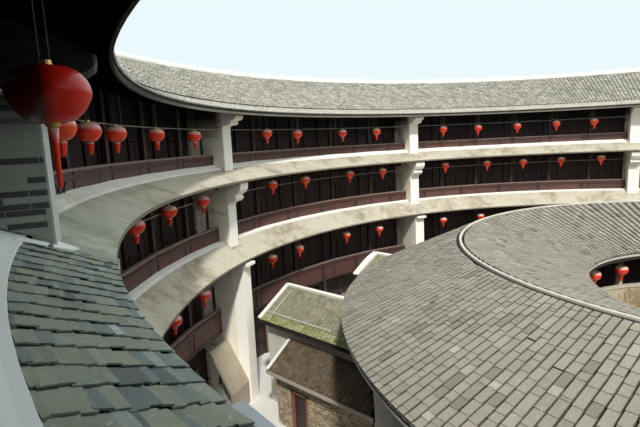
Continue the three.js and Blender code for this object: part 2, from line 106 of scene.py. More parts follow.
class Shader:
    """One material, with short calls that add and join its nodes."""

    def __init__(self, name, roughness=0.85, metallic=0.0):
        self.material = bpy.data.materials.new(name)
        self.material.use_nodes = True
        self.tree = self.material.node_tree
        self.surface = self.tree.nodes["Principled BSDF"]
        self.fill(self.surface, {"Roughness": roughness, "Metallic": metallic})
        MATERIALS[name] = self.material

    def node(self, kind, inputs=(), **settings):
        node = self.tree.nodes.new("ShaderNode" + kind)
        for key, value in settings.items():
            setattr(node, key, value)
        for socket, value in enumerate(inputs):
            self.feed(node.inputs[socket], value)
        return node

    def feed(self, socket, value):
        if value is None:
            return
        if isinstance(value, bpy.types.NodeSocket):
            self.tree.links.new(value, socket)
        else:
            socket.default_value = value

    def fill(self, node, values):
        """Feeds a node's inputs by name."""
        for socket, value in values.items():
            self.feed(node.inputs[socket], value)
        return node

    def math(self, operation, *values):
        return self.node("Math", values, operation=operation).outputs[0]

    def times(self, first, second):
        return self.math("MULTIPLY", first, second)

    def plus(self, first, second):
        return self.math("ADD", first, second)

    def metres(self):
        """Place on the real house, in metres."""
        place = self.node("TexCoord").outputs["Object"]
        scaled = self.node("VectorMath", (place,), operation="SCALE")
        return self.fill(scaled, {"Scale": 1 / SCALE}).outputs[0]

    def towards(self, bearing, low, high):
        """1 on the side of the house at that bearing in degrees, falling to 0 between two cosines."""
        x, y, _ = self.node("SeparateXYZ", (self.metres(),)).outputs
        turn = self.math("SUBTRACT", self.math("ARCTAN2", y, x), math.radians(bearing))
        return self.band(self.math("COSINE", turn), low, high)

    def around(self, radius):
        """Length along a circle of that radius, distance from the middle, and height, in metres."""
        x, y, z = self.node("SeparateXYZ", (self.metres(),)).outputs
        angle = self.math("ARCTAN2", y, x)
        reach = self.math("SQRT", self.plus(self.times(x, x), self.times(y, y)))
        return self.times(angle, radius), reach, z

    def vector(self, x, y, z):
        return self.node("CombineXYZ", (x, y, z)).outputs[0]

    def noise(self, vector, scale, detail=4.0, roughness=0.55):
        values = {"Vector": vector, "Scale": scale, "Detail": detail, "Roughness": roughness}
        return self.fill(self.node("TexNoise"), values).outputs["Fac"]

    def stretched(self, *parts, detail=5, roughness=0.7):
        """Noise over three parts, each a value or a pair of a value and its factor."""
        scaled = [self.times(*part) if isinstance(part, tuple) else part for part in parts]
        return self.noise(self.vector(*scaled), 1.0, detail, roughness)

    def ramp(self, factor, *stops):
        node = self.node("ValToRGB", (factor,))
        stripes = node.color_ramp.elements
        while len(stripes) < len(stops):
            stripes.new(0.5)
        for stripe, (position, colour) in zip(stripes, stops):
            stripe.position = position
            stripe.color = (*colour, 1)
        return node.outputs[0]

    def band(self, factor, low, high):
        """0 below low, 1 above high."""
        return self.node("MapRange", (factor, low, high, 0.0, 1.0)).outputs[0]

    def mix(self, factor, first, second, blend="MIX"):
        node = self.node("Mix", data_type="RGBA", blend_type=blend)
        self.feed(node.inputs[0], factor)
        for socket, value in ((6, first), (7, second)):
            if isinstance(value, tuple) and len(value) == 3:
                value = (*value, 1)
            self.feed(node.inputs[socket], value)
        return node.outputs[2]

    def over(self, colour, top, mask, share):
        """A colour with that share of another on top of it where the mask is 1."""
        return self.mix(self.times(mask, share), colour, top)

    def tinted(self, colour, tint):
        return self.mix(1.0, colour, tint, "MULTIPLY")

    def shade(self):
        return self.node("Attribute", attribute_name="shade").outputs["Fac"]

    def paint(self, colour):
        self.feed(self.surface.inputs["Base Color"], colour)

    def cover(self, colour, height, strength, depth):
        """Paints the surface and raises it. Depth is how far the real surface rises, in metres."""
        self.paint(colour)
        bump = self.node("Bump")
        self.fill(bump, {"Strength": strength, "Distance": depth * SCALE, "Height": height})
        self.feed(self.surface.inputs["Normal"], bump.outputs[0])


# A near-black tone that paints shade on the narrow sides and undersides of tiles
PAINTED_EDGE_SHADE = (0.035, 0.033, 0.03)


def tile_material(name, tones, lichen, spots):
    """Weathered clay tiles: a tone for each tile, blotches of lichen, small pale spots, and a near-black
    tone at shade 0 that paints shade on the narrow sides of tiles.
    """
    s = Shader(name, roughness=0.88)
    place = s.metres()
    stops = [(0.1 + 0.9 * i / (len(tones) - 1), tone) for i, tone in enumerate(tones)]
    colour = s.ramp(s.shade(), (0.0, PAINTED_EDGE_SHADE), *stops)
    share, lichen_colour = lichen
    colour = s.over(colour, lichen_colour, s.band(s.noise(place, 1.3, 5), 0.5, 0.68), share)
    grain = s.noise(place, 24, 4, 0.7)
    colour = s.mix(s.band(grain, 0.2, 0.8), s.tinted(colour, (0.62, 0.62, 0.6)), colour)
    speck = s.band(s.noise(place, 11, 3, 0.6), 0.66, 0.72)
    s.cover(s.over(colour, (0.72, 0.72, 0.66), speck, spots), grain, 0.5, 0.012)


def mortar_material(name, pale, worn, dirt, near=None):
    """Lime mortar: pale, mottled, with dark weather streaks, and maybe another colour near the camera."""
    s = Shader(name, roughness=0.92)
    place = s.metres()
    colour = s.mix(s.band(s.noise(place, 0.9, 6, 0.65), 0.4, 0.7), pale, worn)
    along, reach, z = s.around(21)
    streaks = s.stretched((along, 4.0), reach, (z, 0.7))
    colour = s.over(colour, dirt, s.band(streaks, 0.55, 0.8), 0.4)
    fine = s.noise(place, 30, 4, 0.7)
    colour = s.over(colour, dirt, s.band(fine, 0.6, 0.75), 0.5)
    if near:
        colour = s.mix(s.towards(0, 0.6, 0.8), colour, near)
    s.cover(colour, s.plus(fine, s.times(streaks, 0.8)), 0.5, 0.012)


# The side of the house whose lime is cream, partly as painted sunlight, and the painted light that makes the
# lower skirt roof paler than the upper
LIME_AND_SUN_SIDE = -105
LOWER_SKIRT_PAINTED_LIGHT = (2.0, 1.85, 1.75)
BETWEEN_SKIRTS = (9.4, 8.8)


def limed_material(name, cream, mottle, green, share, near):
    """Lime on the kerbs and skirt roofs: cream on the side across from the camera's bays, partly lime
    and partly painted sunlight, then grey-green, painted paler on the lower skirt as painted light, then the
    colour of the near bays."""
    s = Shader(name, roughness=0.92)
    place = s.metres()
    colour = s.over(cream, mottle, s.band(s.noise(place, 0.7, 8, 0.75), 0.48, 0.64), share)
    grime = s.noise(place, 3.5, 6, 0.8)
    colour = s.over(colour, s.tinted(mottle, (0.55, 0.55, 0.5)), s.band(grime, 0.56, 0.72), share * 0.7)
    _, _, z = s.node("SeparateXYZ", (place,)).outputs
    # Painted light: the lower skirt's grey-green is made paler
    pale = s.mix(s.band(z, *BETWEEN_SKIRTS), green, s.tinted(green, LOWER_SKIRT_PAINTED_LIGHT))
    mossy = s.mix(s.band(s.noise(place, 1.1, 7, 0.7), 0.4, 0.62), pale, s.tinted(pale, (0.6, 0.64, 0.58)))
    # Cream on the far side stands partly for lime and partly for painted sunlight
    colour = s.mix(s.towards(LIME_AND_SUN_SIDE, 0.2, 0.5), mossy, colour)
    colour = s.mix(s.towards(0, 0.915, 0.93), colour, near)
    s.cover(colour, s.plus(grime, s.times(s.noise(place, 30, 3, 0.7), 0.5)), 0.4, 0.015)


COURSE = 0.085
BRICK_LENGTH = 0.3
SLOT_LENGTH = 0.46
BLACK = (0, 0, 0)
WHITE = (1, 1, 1)
# Heights, and distances from the middle, between which painted shade under the eaves begins on a firewall
PIER_PAINTED_SHADE = ((12.9, 14.0), (20.95, 21.3))
NEAR_PAINTED_SHADE = ((12.9, 13.5), (19.98, 20.12))


def brick_pattern(s, across, z, offset, colours, length, joint, smooth=None):
    """Courses of bricks. The colours are those of two kinds of brick and of the joint."""
    first, second, mortar = ((*colour, 1) for colour in colours)
    values = {"Vector": s.vector(across, z, 0.0), "Color1": first, "Color2": second, "Mortar": mortar,
              "Scale": 1.0, "Mortar Size": joint, "Mortar Smooth": smooth, "Bias": 0.0,
              "Brick Width": length, "Row Height": COURSE}
    return s.fill(s.node("TexBrick", offset=offset, squash=1.0), values).outputs


def brick_wall_material(name, bricks, joint, wash, cover, gaps=0.0, stained=0.45, end=None, near=False):
    """Brick courses under a worn lime wash. Cover is the share of the wash that is left.

    Gaps is how dark the missing bricks are. The end is a distance from the middle and a paler colour
    up to there, which paints light on the yard end faces. The near wall has more gaps and more painted
    shade.
    """
    s = Shader(name, roughness=0.93)
    place = s.metres()
    along, reach, z = s.around(20.5)
    across = s.plus(along, reach)
    courses = brick_pattern(s, across, z, 0.5, (*bricks, joint), BRICK_LENGTH, 0.009, 0.3)
    worn = s.tinted(courses["Color"], (0.6, 0.62, 0.58))
    brick = s.mix(s.band(s.noise(place, 3, 5, 0.65), 0.3, 0.7), courses["Color"], worn)
    left = s.band(s.noise(place, 0.8, 6, 0.7), 0.52 - 0.25 * cover, 0.6 - 0.25 * cover)
    colour = s.over(brick, wash, left, 0.78)
    stains = s.stretched((across, 3.0), (z, 0.35), 0.0)
    colour = s.over(colour, (0.22, 0.2, 0.16), s.band(stains, 0.56, 0.85), stained)
    slots = brick_pattern(s, across, z, 0.37, (BLACK, WHITE, BLACK), SLOT_LENGTH, 0.004)["Color"]
    rare = 0.78 if near else 0.95
    colour = s.over(colour, (0.06, 0.065, 0.06), s.band(slots, rare, rare + 0.03), gaps)
    # Painted light: the yard end faces of the firewall get a paler colour
    if end:
        colour = s.mix(s.band(reach, end[0], end[0] - 0.02), colour, end[1])
    # Painted shade: the top of each firewall under the eaves goes near-black
    height, depth = NEAR_PAINTED_SHADE if near else PIER_PAINTED_SHADE
    painted_shade = s.times(s.band(z, *height), s.band(reach, *depth))
    colour = s.over(colour, (0.006, 0.006, 0.006), painted_shade, 0.97)
    relief = s.plus(s.times(courses["Fac"], -0.6), s.noise(place, 28, 3, 0.7))
    s.cover(colour, relief, 0.55, 0.012)


LIFT = 0.42


def earth_material():
    """Rammed earth: lifts of their own tones, dark lines between them, pale streaks and small stones."""
    s = Shader("rammed_earth", roughness=0.95)
    along, _, z = s.around(28.3)
    wave = s.stretched((along, 0.15), 0.0, (z, 0.2), detail=3, roughness=0.55)
    lifts = s.math("FRACT", s.math("DIVIDE", s.plus(z, s.times(wave, 0.2)), LIFT))
    line = s.band(lifts, 0.9, 0.97)
    tone = s.stretched((along, 0.08), 0.0, (z, 2.4), detail=2, roughness=0.55)
    colour = s.ramp(tone, (0.3, (0.33, 0.24, 0.15)), (0.5, (0.42, 0.32, 0.21)), (0.7, (0.5, 0.39, 0.26)))
    colour = s.over(colour, (0.24, 0.17, 0.11), line, 0.45)
    rain = s.stretched((along, 1.6), 0.0, (z, 0.12), roughness=0.65)
    colour = s.over(colour, (0.66, 0.58, 0.44), s.band(rain, 0.5, 0.72), 0.5)
    grit = s.noise(s.metres(), 14, 5, 0.7)
    colour = s.mix(s.band(grit, 0.62, 0.72), colour, (0.34, 0.27, 0.2))
    s.cover(colour, s.math("SUBTRACT", grit, s.times(line, 0.7)), 0.7, 0.03)


def rubble_material(name, size, radius, tint=WHITE):
    """Fitted river stones with sunken joints."""
    s = Shader(name, roughness=0.9)
    along, reach, z = s.around(radius)
    spot = s.vector(s.plus(along, reach), s.times(z, 1.25), 0.0)
    stones = s.node("TexVoronoi", voronoi_dimensions="2D")
    edges = s.node("TexVoronoi", voronoi_dimensions="2D", feature="DISTANCE_TO_EDGE")
    for cells in (stones, edges):
        s.fill(cells, {"Vector": spot, "Scale": 1 / size})
    tone = s.node("SeparateColor", (stones.outputs["Color"],)).outputs[0]
    colour = s.ramp(tone, (0.0, (0.2, 0.19, 0.17)), (0.45, (0.36, 0.34, 0.3)), (0.8, (0.46, 0.43, 0.37)),
                    (1.0, (0.33, 0.35, 0.35)))
    colour = s.tinted(colour, tint)
    joint = s.band(edges.outputs["Distance"], 0.03, 0.09)
    grain = s.noise(s.metres(), 22, 4, 0.7)
    colour = s.mix(s.band(grain, 0.3, 0.8), s.tinted(colour, (0.7, 0.7, 0.68)), colour)
    s.cover(s.mix(joint, (0.13, 0.11, 0.09), colour), s.plus(joint, s.times(grain, 0.3)), 0.8, 0.03)


# Heights where painted shade begins and is full on the fronts of each storey, and the floor or roof above
FRONT_PAINTED_SHADE = ((6.3, 7.2, 7.7), (10.2, 11.0, 11.45), (12.7, 13.5, 16.0))
# The same for the posts that stand on the parapets
POST_PAINTED_SHADE = ((4.76, 4.8, 7.7), (8.85, 8.9, 11.45), (12.3, 12.35, 16.0))


def board_material(name, dark, light, board, radius, painted_shade=(), shade_colour=(0.002, 0.002, 0.002)):
    """Aged boards: joints every so many metres round the house, grain along the height, and painted shade up
    under each ceiling.
    """
    s = Shader(name, roughness=0.6)
    along, reach, z = s.around(radius)
    across = s.plus(along, s.times(reach, 0.31))
    count = s.math("DIVIDE", across, board)
    edge = s.math("ABSOLUTE", s.math("SUBTRACT", s.math("FRACT", count), 0.5))
    joint = s.band(edge, 0.44, 0.49)
    own = s.fill(s.node("TexWhiteNoise", noise_dimensions="1D"), {"W": s.math("FLOOR", count)})
    grain = s.stretched((across, 22.0), (reach, 3.0), z, detail=4, roughness=0.65)
    tone = s.plus(s.times(own.outputs["Value"], 0.45), s.times(grain, 0.6))
    colour = s.over(s.mix(tone, dark, light), (0.012, 0.008, 0.006), joint, 0.85)
    # Painted shade: the boards go near-black towards the ceiling above them
    for clear, shaded_height, ceiling in painted_shade:
        painted_shade_band = s.times(s.band(z, clear, shaded_height), s.band(z, ceiling, ceiling - 0.01))
        colour = s.over(colour, shade_colour, painted_shade_band, 0.93)
    s.cover(colour, s.math("SUBTRACT", s.times(grain, 0.35), joint), 0.6, 0.01)


def timber_material(name, dark, light, roughness=0.6, gloss=0.5):
    """Rails, posts and beams, with a fine grain and worn pale patches."""
    s = Shader(name, roughness=roughness)
    s.fill(s.surface, {"Specular IOR Level": gloss})
    along_grain = s.node("VectorMath", (s.metres(), (3.0, 3.0, 14.0)), operation="MULTIPLY").outputs[0]
    grain = s.noise(along_grain, 1.6, 5, 0.7)
    tone = s.plus(s.times(grain, 0.6), s.times(s.shade(), 0.4))
    s.cover(s.mix(s.band(tone, 0.2, 0.8), dark, light), grain, 0.4, 0.006)


def silk_material(name, reds, painted_highlight, coat, shady=None):
    """Red lacquered lantern silk with a painted highlight on its upward faces and a fine weave. Shady is the
    azimuth of a side painted in shade.
    """
    s = Shader(name, roughness=0.35)
    weave = s.noise(s.metres(), 90, 2, 0.5)
    tone = s.plus(s.times(s.shade(), 0.7), s.times(weave, 0.3))
    colour = s.ramp(tone, *zip((0.1, 0.5, 0.9), reds))
    normal = s.node("NewGeometry").outputs["Normal"]
    upward = s.node("SeparateXYZ", (normal,)).outputs[2]
    # Painted highlight: faces that look upward are mixed towards a pale pink
    colour = s.over(colour, (1.0, 0.68, 0.58), s.band(upward, 0.15, 0.55), painted_highlight)
    # Painted shade: the side that faces the shady azimuth goes near-black
    if shady is not None:
        side = (math.cos(math.radians(shady)), math.sin(math.radians(shady)), 0.0)
        painted_shade_side_mask = s.node("VectorMath", (normal, side), operation="DOT_PRODUCT").outputs["Value"]
        colour = s.over(colour, (0.03, 0.001, 0.001), s.band(painted_shade_side_mask, -0.1, 0.2), 0.94)
    s.fill(s.surface, {"Specular IOR Level": 0.2, "Coat Weight": coat, "Coat Roughness": 0.12})
    s.cover(colour, weave, 0.12, 0.002)


def gilt_material():
    s = Shader("lantern_gilt", roughness=0.38, metallic=0.75)
    wear = s.noise(s.metres(), 40, 4, 0.6)
    s.cover(s.mix(s.band(wear, 0.35, 0.7), (0.5, 0.3, 0.07), (0.85, 0.6, 0.2)), wear, 0.2, 0.002)


def floor_material():
    s = Shader("studio_floor", roughness=0.95)
    s.paint(s.mix(s.noise(s.metres(), 0.4, 3), (0.66, 0.65, 0.62), (0.72, 0.71, 0.68)))


ROOF_GREY = ((0.2, 0.19, 0.16), (0.28, 0.265, 0.225), (0.35, 0.33, 0.28), (0.43, 0.405, 0.35),
             (0.52, 0.49, 0.43))
NEAR_GREY = ((0.13, 0.16, 0.15), (0.2, 0.25, 0.25), (0.28, 0.32, 0.27), (0.34, 0.36, 0.27),
             (0.3, 0.34, 0.3), (0.4, 0.45, 0.43), (0.56, 0.61, 0.6))
WARM_GREY = ((0.22, 0.195, 0.155), (0.3, 0.27, 0.22), (0.32, 0.3, 0.255), (0.35, 0.315, 0.255),
             (0.43, 0.4, 0.335))
OLIVE_GREY = ((0.2, 0.19, 0.125), (0.26, 0.245, 0.165), (0.31, 0.29, 0.2), (0.35, 0.33, 0.235))
MOSS = ((0.2, 0.22, 0.06), (0.29, 0.3, 0.13), (0.36, 0.36, 0.2), (0.42, 0.41, 0.28))
BROWN_GREY = ((0.08, 0.055, 0.03), (0.12, 0.085, 0.05), (0.155, 0.11, 0.065), (0.2, 0.15, 0.095))
SILK_REDS = ((0.45, 0.008, 0.004), (0.85, 0.035, 0.01), (0.95, 0.12, 0.03))
# Darker reds for the near lantern, which paint the shade it hangs in
PAINTED_SHADE_REDS = ((0.3, 0.003, 0.002), (0.6, 0.01, 0.004), (0.75, 0.03, 0.01))
# Azimuth of the near lantern's side that is painted in shade
NEAR_SILK_SHADY_SIDE = 343.8


def add_roof_materials():
    tile_material("main_tiles", ROOF_GREY, (0.4, (0.17, 0.16, 0.13)), 0.5)
    tile_material("skirt_tiles", NEAR_GREY, (0.4, (0.24, 0.24, 0.15)), 0.4)
    tile_material("far_tiles", WARM_GREY, (0.3, (0.2, 0.195, 0.15)), 0.25)
    tile_material("olive_tiles", OLIVE_GREY, (0.4, (0.17, 0.19, 0.09)), 0.3)
    tile_material("moss_tiles", MOSS, (0.3, (0.12, 0.17, 0.03)), 0.3)
    tile_material("brown_tiles", BROWN_GREY, (0.4, (0.1, 0.09, 0.07)), 0.2)
    limed_material("limed_tiles", (0.5, 0.455, 0.36), (0.29, 0.25, 0.17), (0.43, 0.445, 0.36), 1.0,
                   (0.26, 0.285, 0.245))
    limed_material("limed_kerb", (0.95, 0.92, 0.83), (0.76, 0.71, 0.58), (0.85, 0.84, 0.7), 0.5,
                   (0.8, 0.85, 0.81))


def add_mortar_materials():
    mortar_material("lime_mortar", (0.6, 0.57, 0.48), (0.46, 0.43, 0.35), (0.2, 0.18, 0.14))
    mortar_material("white_mortar", (0.8, 0.78, 0.72), (0.68, 0.66, 0.59), (0.4, 0.37, 0.31))
    mortar_material("fascia_boards", (0.2, 0.175, 0.145), (0.12, 0.105, 0.085), (0.05, 0.042, 0.035),
                    (0.02, 0.018, 0.015))
    mortar_material("last_course", (0.4, 0.375, 0.32), (0.29, 0.27, 0.225), (0.12, 0.105, 0.09),
                    (0.12, 0.115, 0.1))
    mortar_material("ridge_stone", (0.56, 0.53, 0.45), (0.46, 0.43, 0.35), (0.22, 0.2, 0.17))
    mortar_material("footing_stone", (0.42, 0.33, 0.26), (0.34, 0.29, 0.23), (0.16, 0.13, 0.1))
    mortar_material("store_render", (0.42, 0.36, 0.27), (0.36, 0.3, 0.22), (0.22, 0.18, 0.13))


def add_wall_materials():
    brick_wall_material("pier_brick", ((0.78, 0.7, 0.57), (0.62, 0.56, 0.45)), (0.28, 0.25, 0.19),
                        (0.98, 0.91, 0.77), 0.75, 0.35, 0.25, (21.0, (0.95, 0.92, 0.83)))
    brick_wall_material("near_pier_brick", ((0.36, 0.38, 0.33), (0.3, 0.32, 0.28)), (0.14, 0.14, 0.12),
                        (0.4, 0.42, 0.37), 0.9, 0.95, 0.45, (20.84, (0.5, 0.52, 0.5)), True)
    brick_wall_material("yard_wall_brick", ((0.42, 0.33, 0.24), (0.36, 0.3, 0.22)), (0.2, 0.18, 0.15),
                        (0.72, 0.71, 0.66), 1.3)
    brick_wall_material("court_brick", ((0.4, 0.28, 0.17), (0.48, 0.36, 0.22)), (0.1, 0.07, 0.05),
                        (0.5, 0.42, 0.3), 0.2)
    earth_material()
    rubble_material("plinth_stone", 0.42, 28.6)
    rubble_material("yard_stone", 0.15, 15.0, (1.5, 1.26, 0.95))
    rubble_material("gate_stone", 0.6, 28.0)


def add_timber_materials():
    board_material("room_front_boards", (0.026, 0.014, 0.013), (0.082, 0.042, 0.038), 0.24, 23.0,
                   FRONT_PAINTED_SHADE)
    board_material("parapet_boards", (0.055, 0.023, 0.02), (0.13, 0.056, 0.047), 3.1, 21.7, POST_PAINTED_SHADE,
                   (0.016, 0.009, 0.008))
    board_material("floor_boards", (0.06, 0.04, 0.028), (0.16, 0.11, 0.08), 0.2, 22.0)
    timber_material("frame_timber", (0.03, 0.013, 0.011), (0.085, 0.038, 0.03))
    # Near-black for painted shade on the boards and rafters under the main eave
    timber_material("painted_shade_timber", (0.001, 0.001, 0.001), (0.003, 0.002, 0.002), 1.0, 0.0)
    timber_material("red_timber", (0.14, 0.05, 0.03), (0.3, 0.12, 0.075))
    timber_material("weathered_timber", (0.17, 0.14, 0.115), (0.38, 0.34, 0.29), 0.75)
    timber_material("worn_rail", (0.3, 0.25, 0.2), (0.56, 0.5, 0.42))
    timber_material("hand_rail", (0.12, 0.075, 0.06), (0.27, 0.2, 0.165))
    # Near-black for painted shadow: under eaves, at ridge feet and under the tiles
    timber_material("painted_shadow", (0.012, 0.01, 0.008), (0.03, 0.024, 0.02), 0.9)
    timber_material("eave_edge_wood", (0.12, 0.1, 0.07), (0.26, 0.22, 0.16), 0.8)
    timber_material("pale_plank", (0.42, 0.46, 0.46), (0.6, 0.65, 0.67), 0.7)


add_roof_materials()
add_mortar_materials()
add_wall_materials()
add_timber_materials()
# The lantern silk has a painted highlight on top
silk_material("lantern_silk", SILK_REDS, 0.9, 0.6)
# The near lantern gets darker reds and a near-black side, both painted shade
silk_material("near_lantern_silk", PAINTED_SHADE_REDS, 0.0, 0.15, NEAR_SILK_SHADY_SIDE)
gilt_material()
floor_material()


# Mesh making

def bay_count(sector):
    return AXIS_BAYS if sector % (SECTORS // 2) == 0 else SIDE_BAYS


def bay_lines(steps=1):
    """Angles at every fraction of a bay, all the way round."""
    angles = []
    for sector in range(SECTORS):
        count = bay_count(sector) * steps
        angles += [FIRST_FIREWALL + SECTOR * (sector + step / count) for step in range(count)]
    return np.array(angles)


def bay_centres():
    return bay_lines(2)[1::2]


def clear_of_firewalls(angles, margin=0.03):
    offset = (angles - FIRST_FIREWALL + SECTOR / 2) % SECTOR - SECTOR / 2
    return angles[np.abs(offset) > margin]


def even_turns(count):
    return np.arange(count) * math.tau / count


def outwards(angles):
    return np.stack((np.cos(angles), np.sin(angles), np.zeros_like(angles)), axis=-1)


def sideways(angles):
    return np.stack((-np.sin(angles), np.cos(angles), np.zeros_like(angles)), axis=-1)


def ring_points(angles, radii, heights):
    angles, radii, heights = np.broadcast_arrays(angles, radii, heights)
    return np.stack((radii * np.cos(angles), radii * np.sin(angles), heights), axis=-1)


def swept_faces(turns, size, closed=True):
    """Faces between each copy of an outline and the next, all the way round."""
    here, there = np.meshgrid(np.arange(turns), np.arange(size if closed else size - 1), indexing="ij")
    onward = (here + 1) % turns
    after = (there + 1) % size
    corners = (here * size + there, onward * size + there, onward * size + after, here * size + after)
    return np.stack(corners, axis=-1).reshape(-1, 4)


BOX_FACES = np.array(((0, 3, 2, 1), (4, 5, 6, 7), (0, 1, 5, 4), (1, 2, 6, 5), (2, 3, 7, 6), (3, 0, 4, 7)))
BOX_SIDES = ((-1, -1), (1, -1), (1, 1), (-1, 1))


class Build:
    """Collects points and four-sided faces, with a shade from 0 to 1 for each face."""

    def __init__(self):
        self.points = []
        self.faces = []
        self.shades = []
        self.count = 0

    def add(self, points, faces, shades):
        points = np.asarray(points, float).reshape(-1, 3)
        self.points.append(points)
        self.faces.append(faces.reshape(-1, 4) + self.count)
        self.shades.append(np.broadcast_to(shades, len(self.faces[-1])))
        self.count += len(points)

    def copies(self, corners, faces, shades):
        """Corners is an array of copies by points by 3, and all copies share the same faces."""
        copies, size = corners.shape[:2]
        shifts = np.arange(copies)[:, None, None] * size
        shades = np.asarray(shades, float)
        if shades.ndim < 2:
            shades = shades.reshape(-1, 1)
        shades = np.broadcast_to(shades, (copies, len(faces)))
        self.add(corners, faces[None] + shifts, shades.ravel())

    def blocks(self, angles, r0, r1, width, z0, z1, shades=0.5, shift=0.0):
        """Boxes that point away from the middle. Any size may be an array. Shift moves them sideways."""
        angles = np.atleast_1d(np.asarray(angles, float))
        sizes = [np.broadcast_to(value, angles.shape) for value in (r0, r1, width, z0, z1, shift)]
        r0, r1, width, z0, z1, shift = sizes
        outward, aside = outwards(angles), sideways(angles)
        corners = []
        for z in (z0, z1):
            for r, side in ((r0, -0.5), (r1, -0.5), (r1, 0.5), (r0, 0.5)):
                point = outward * r[:, None] + aside * (shift + side * width)[:, None]
                point[:, 2] = z
                corners.append(point)
        self.copies(np.stack(corners, axis=1), BOX_FACES, shades)

    def beams(self, starts, ends, side, width, depth, shades=0.5):
        """Straight beams between pairs of points. Side is the direction of their width."""
        starts, ends = np.asarray(starts, float), np.asarray(ends, float)
        side = np.broadcast_to(side, starts.shape)
        along = ends - starts
        along /= np.linalg.norm(along, axis=1)[:, None]
        side = side - along * np.sum(side * along, axis=1)[:, None]
        side = side / np.linalg.norm(side, axis=1)[:, None] * width / 2
        rise = np.cross(along, side)
        rise = rise / np.linalg.norm(rise, axis=1)[:, None] * depth / 2
        corners = [end + a * side + b * rise for end in (starts, ends) for a, b in BOX_SIDES]
        self.copies(np.stack(corners, axis=1), BOX_FACES, shades)

    def beam(self, start, end, *sizes):
        self.beams([start], [end], *sizes)

    def hoop(self, outline, angles=None, shades=0.5):
        """A closed r-z outline swept all the way round."""
        if angles is None:
            angles = even_turns(ROUND)
        outline = np.asarray(outline, float)
        points = ring_points(np.asarray(angles)[:, None], outline[None, :, 0], outline[None, :, 1])
        self.add(points, swept_faces(len(angles), len(outline)), shades)

    def finish(self, name, material, slot, smooth=False, replaces=()):
        points = np.concatenate(self.points) * SCALE
        faces = np.concatenate(self.faces)
        mesh = bpy.data.meshes.new(name)
        mesh.vertices.add(len(points))
        mesh.vertices.foreach_set("co", points.ravel())
        mesh.loops.add(faces.size)
        mesh.loops.foreach_set("vertex_index", faces.ravel().astype(np.int32))
        mesh.polygons.add(len(faces))
        mesh.polygons.foreach_set("loop_start", np.arange(0, faces.size, 4, dtype=np.int32))
        mesh.polygons.foreach_set("use_smooth", np.full(len(faces), smooth))
        mesh.update(calc_edges=True)
        shades = mesh.attributes.new("shade", "FLOAT", "FACE")
        shades.data.foreach_set("value", np.concatenate(self.shades).astype(np.float32))
        mesh.validate()
        mesh.materials.append(MATERIALS[material])
        piece = add_object(name, mesh)
        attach(piece, "root")
        if replaces:
            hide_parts(*replaces)


def builds(count):
    return [Build() for _ in range(count)]


def polar(node):
    """Radius and height of each point of a CAD node, on the real house."""
    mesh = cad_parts[node].data
    points = np.empty(3 * len(mesh.vertices))
    mesh.vertices.foreach_get("co", points)
    points = points.reshape(-1, 3) / SCALE
    return np.hypot(points[:, 0], points[:, 1]), points[:, 2]


def top_line(node):
    """Radius and top height at a sloping ring's inner and outer edge."""
    r, z = polar(node)
    inner, outer = r < r.min() + 0.03, r > r.max() - 0.03
    return (r.min(), z[inner].max()), (r.max(), z[outer].max())


def slope(node):
    """Radius and top height at both edges of a sloping ring, and its rise for each metre outwards."""
    (r0, z0), (r1, z1) = top_line(node)
    return r0, z0, r1, z1, (z1 - z0) / (r1 - r0)


def span(node):
    """Lowest and highest radius and height of a CAD node."""
    r, z = polar(node)
    return r.min(), r.max(), z.min(), z.max()


# Tiles

rng = np.random.default_rng(11)
TILE_FACES = np.array(((0, 1, 5, 4), (1, 2, 6, 5), (2, 3, 7, 6), (3, 2, 1, 0)))
LAPPED_FACES = np.append(TILE_FACES, ((0, 4, 7, 3),), axis=0)
TOP_FACE = 1
TILE_OVERLAP = 0.02


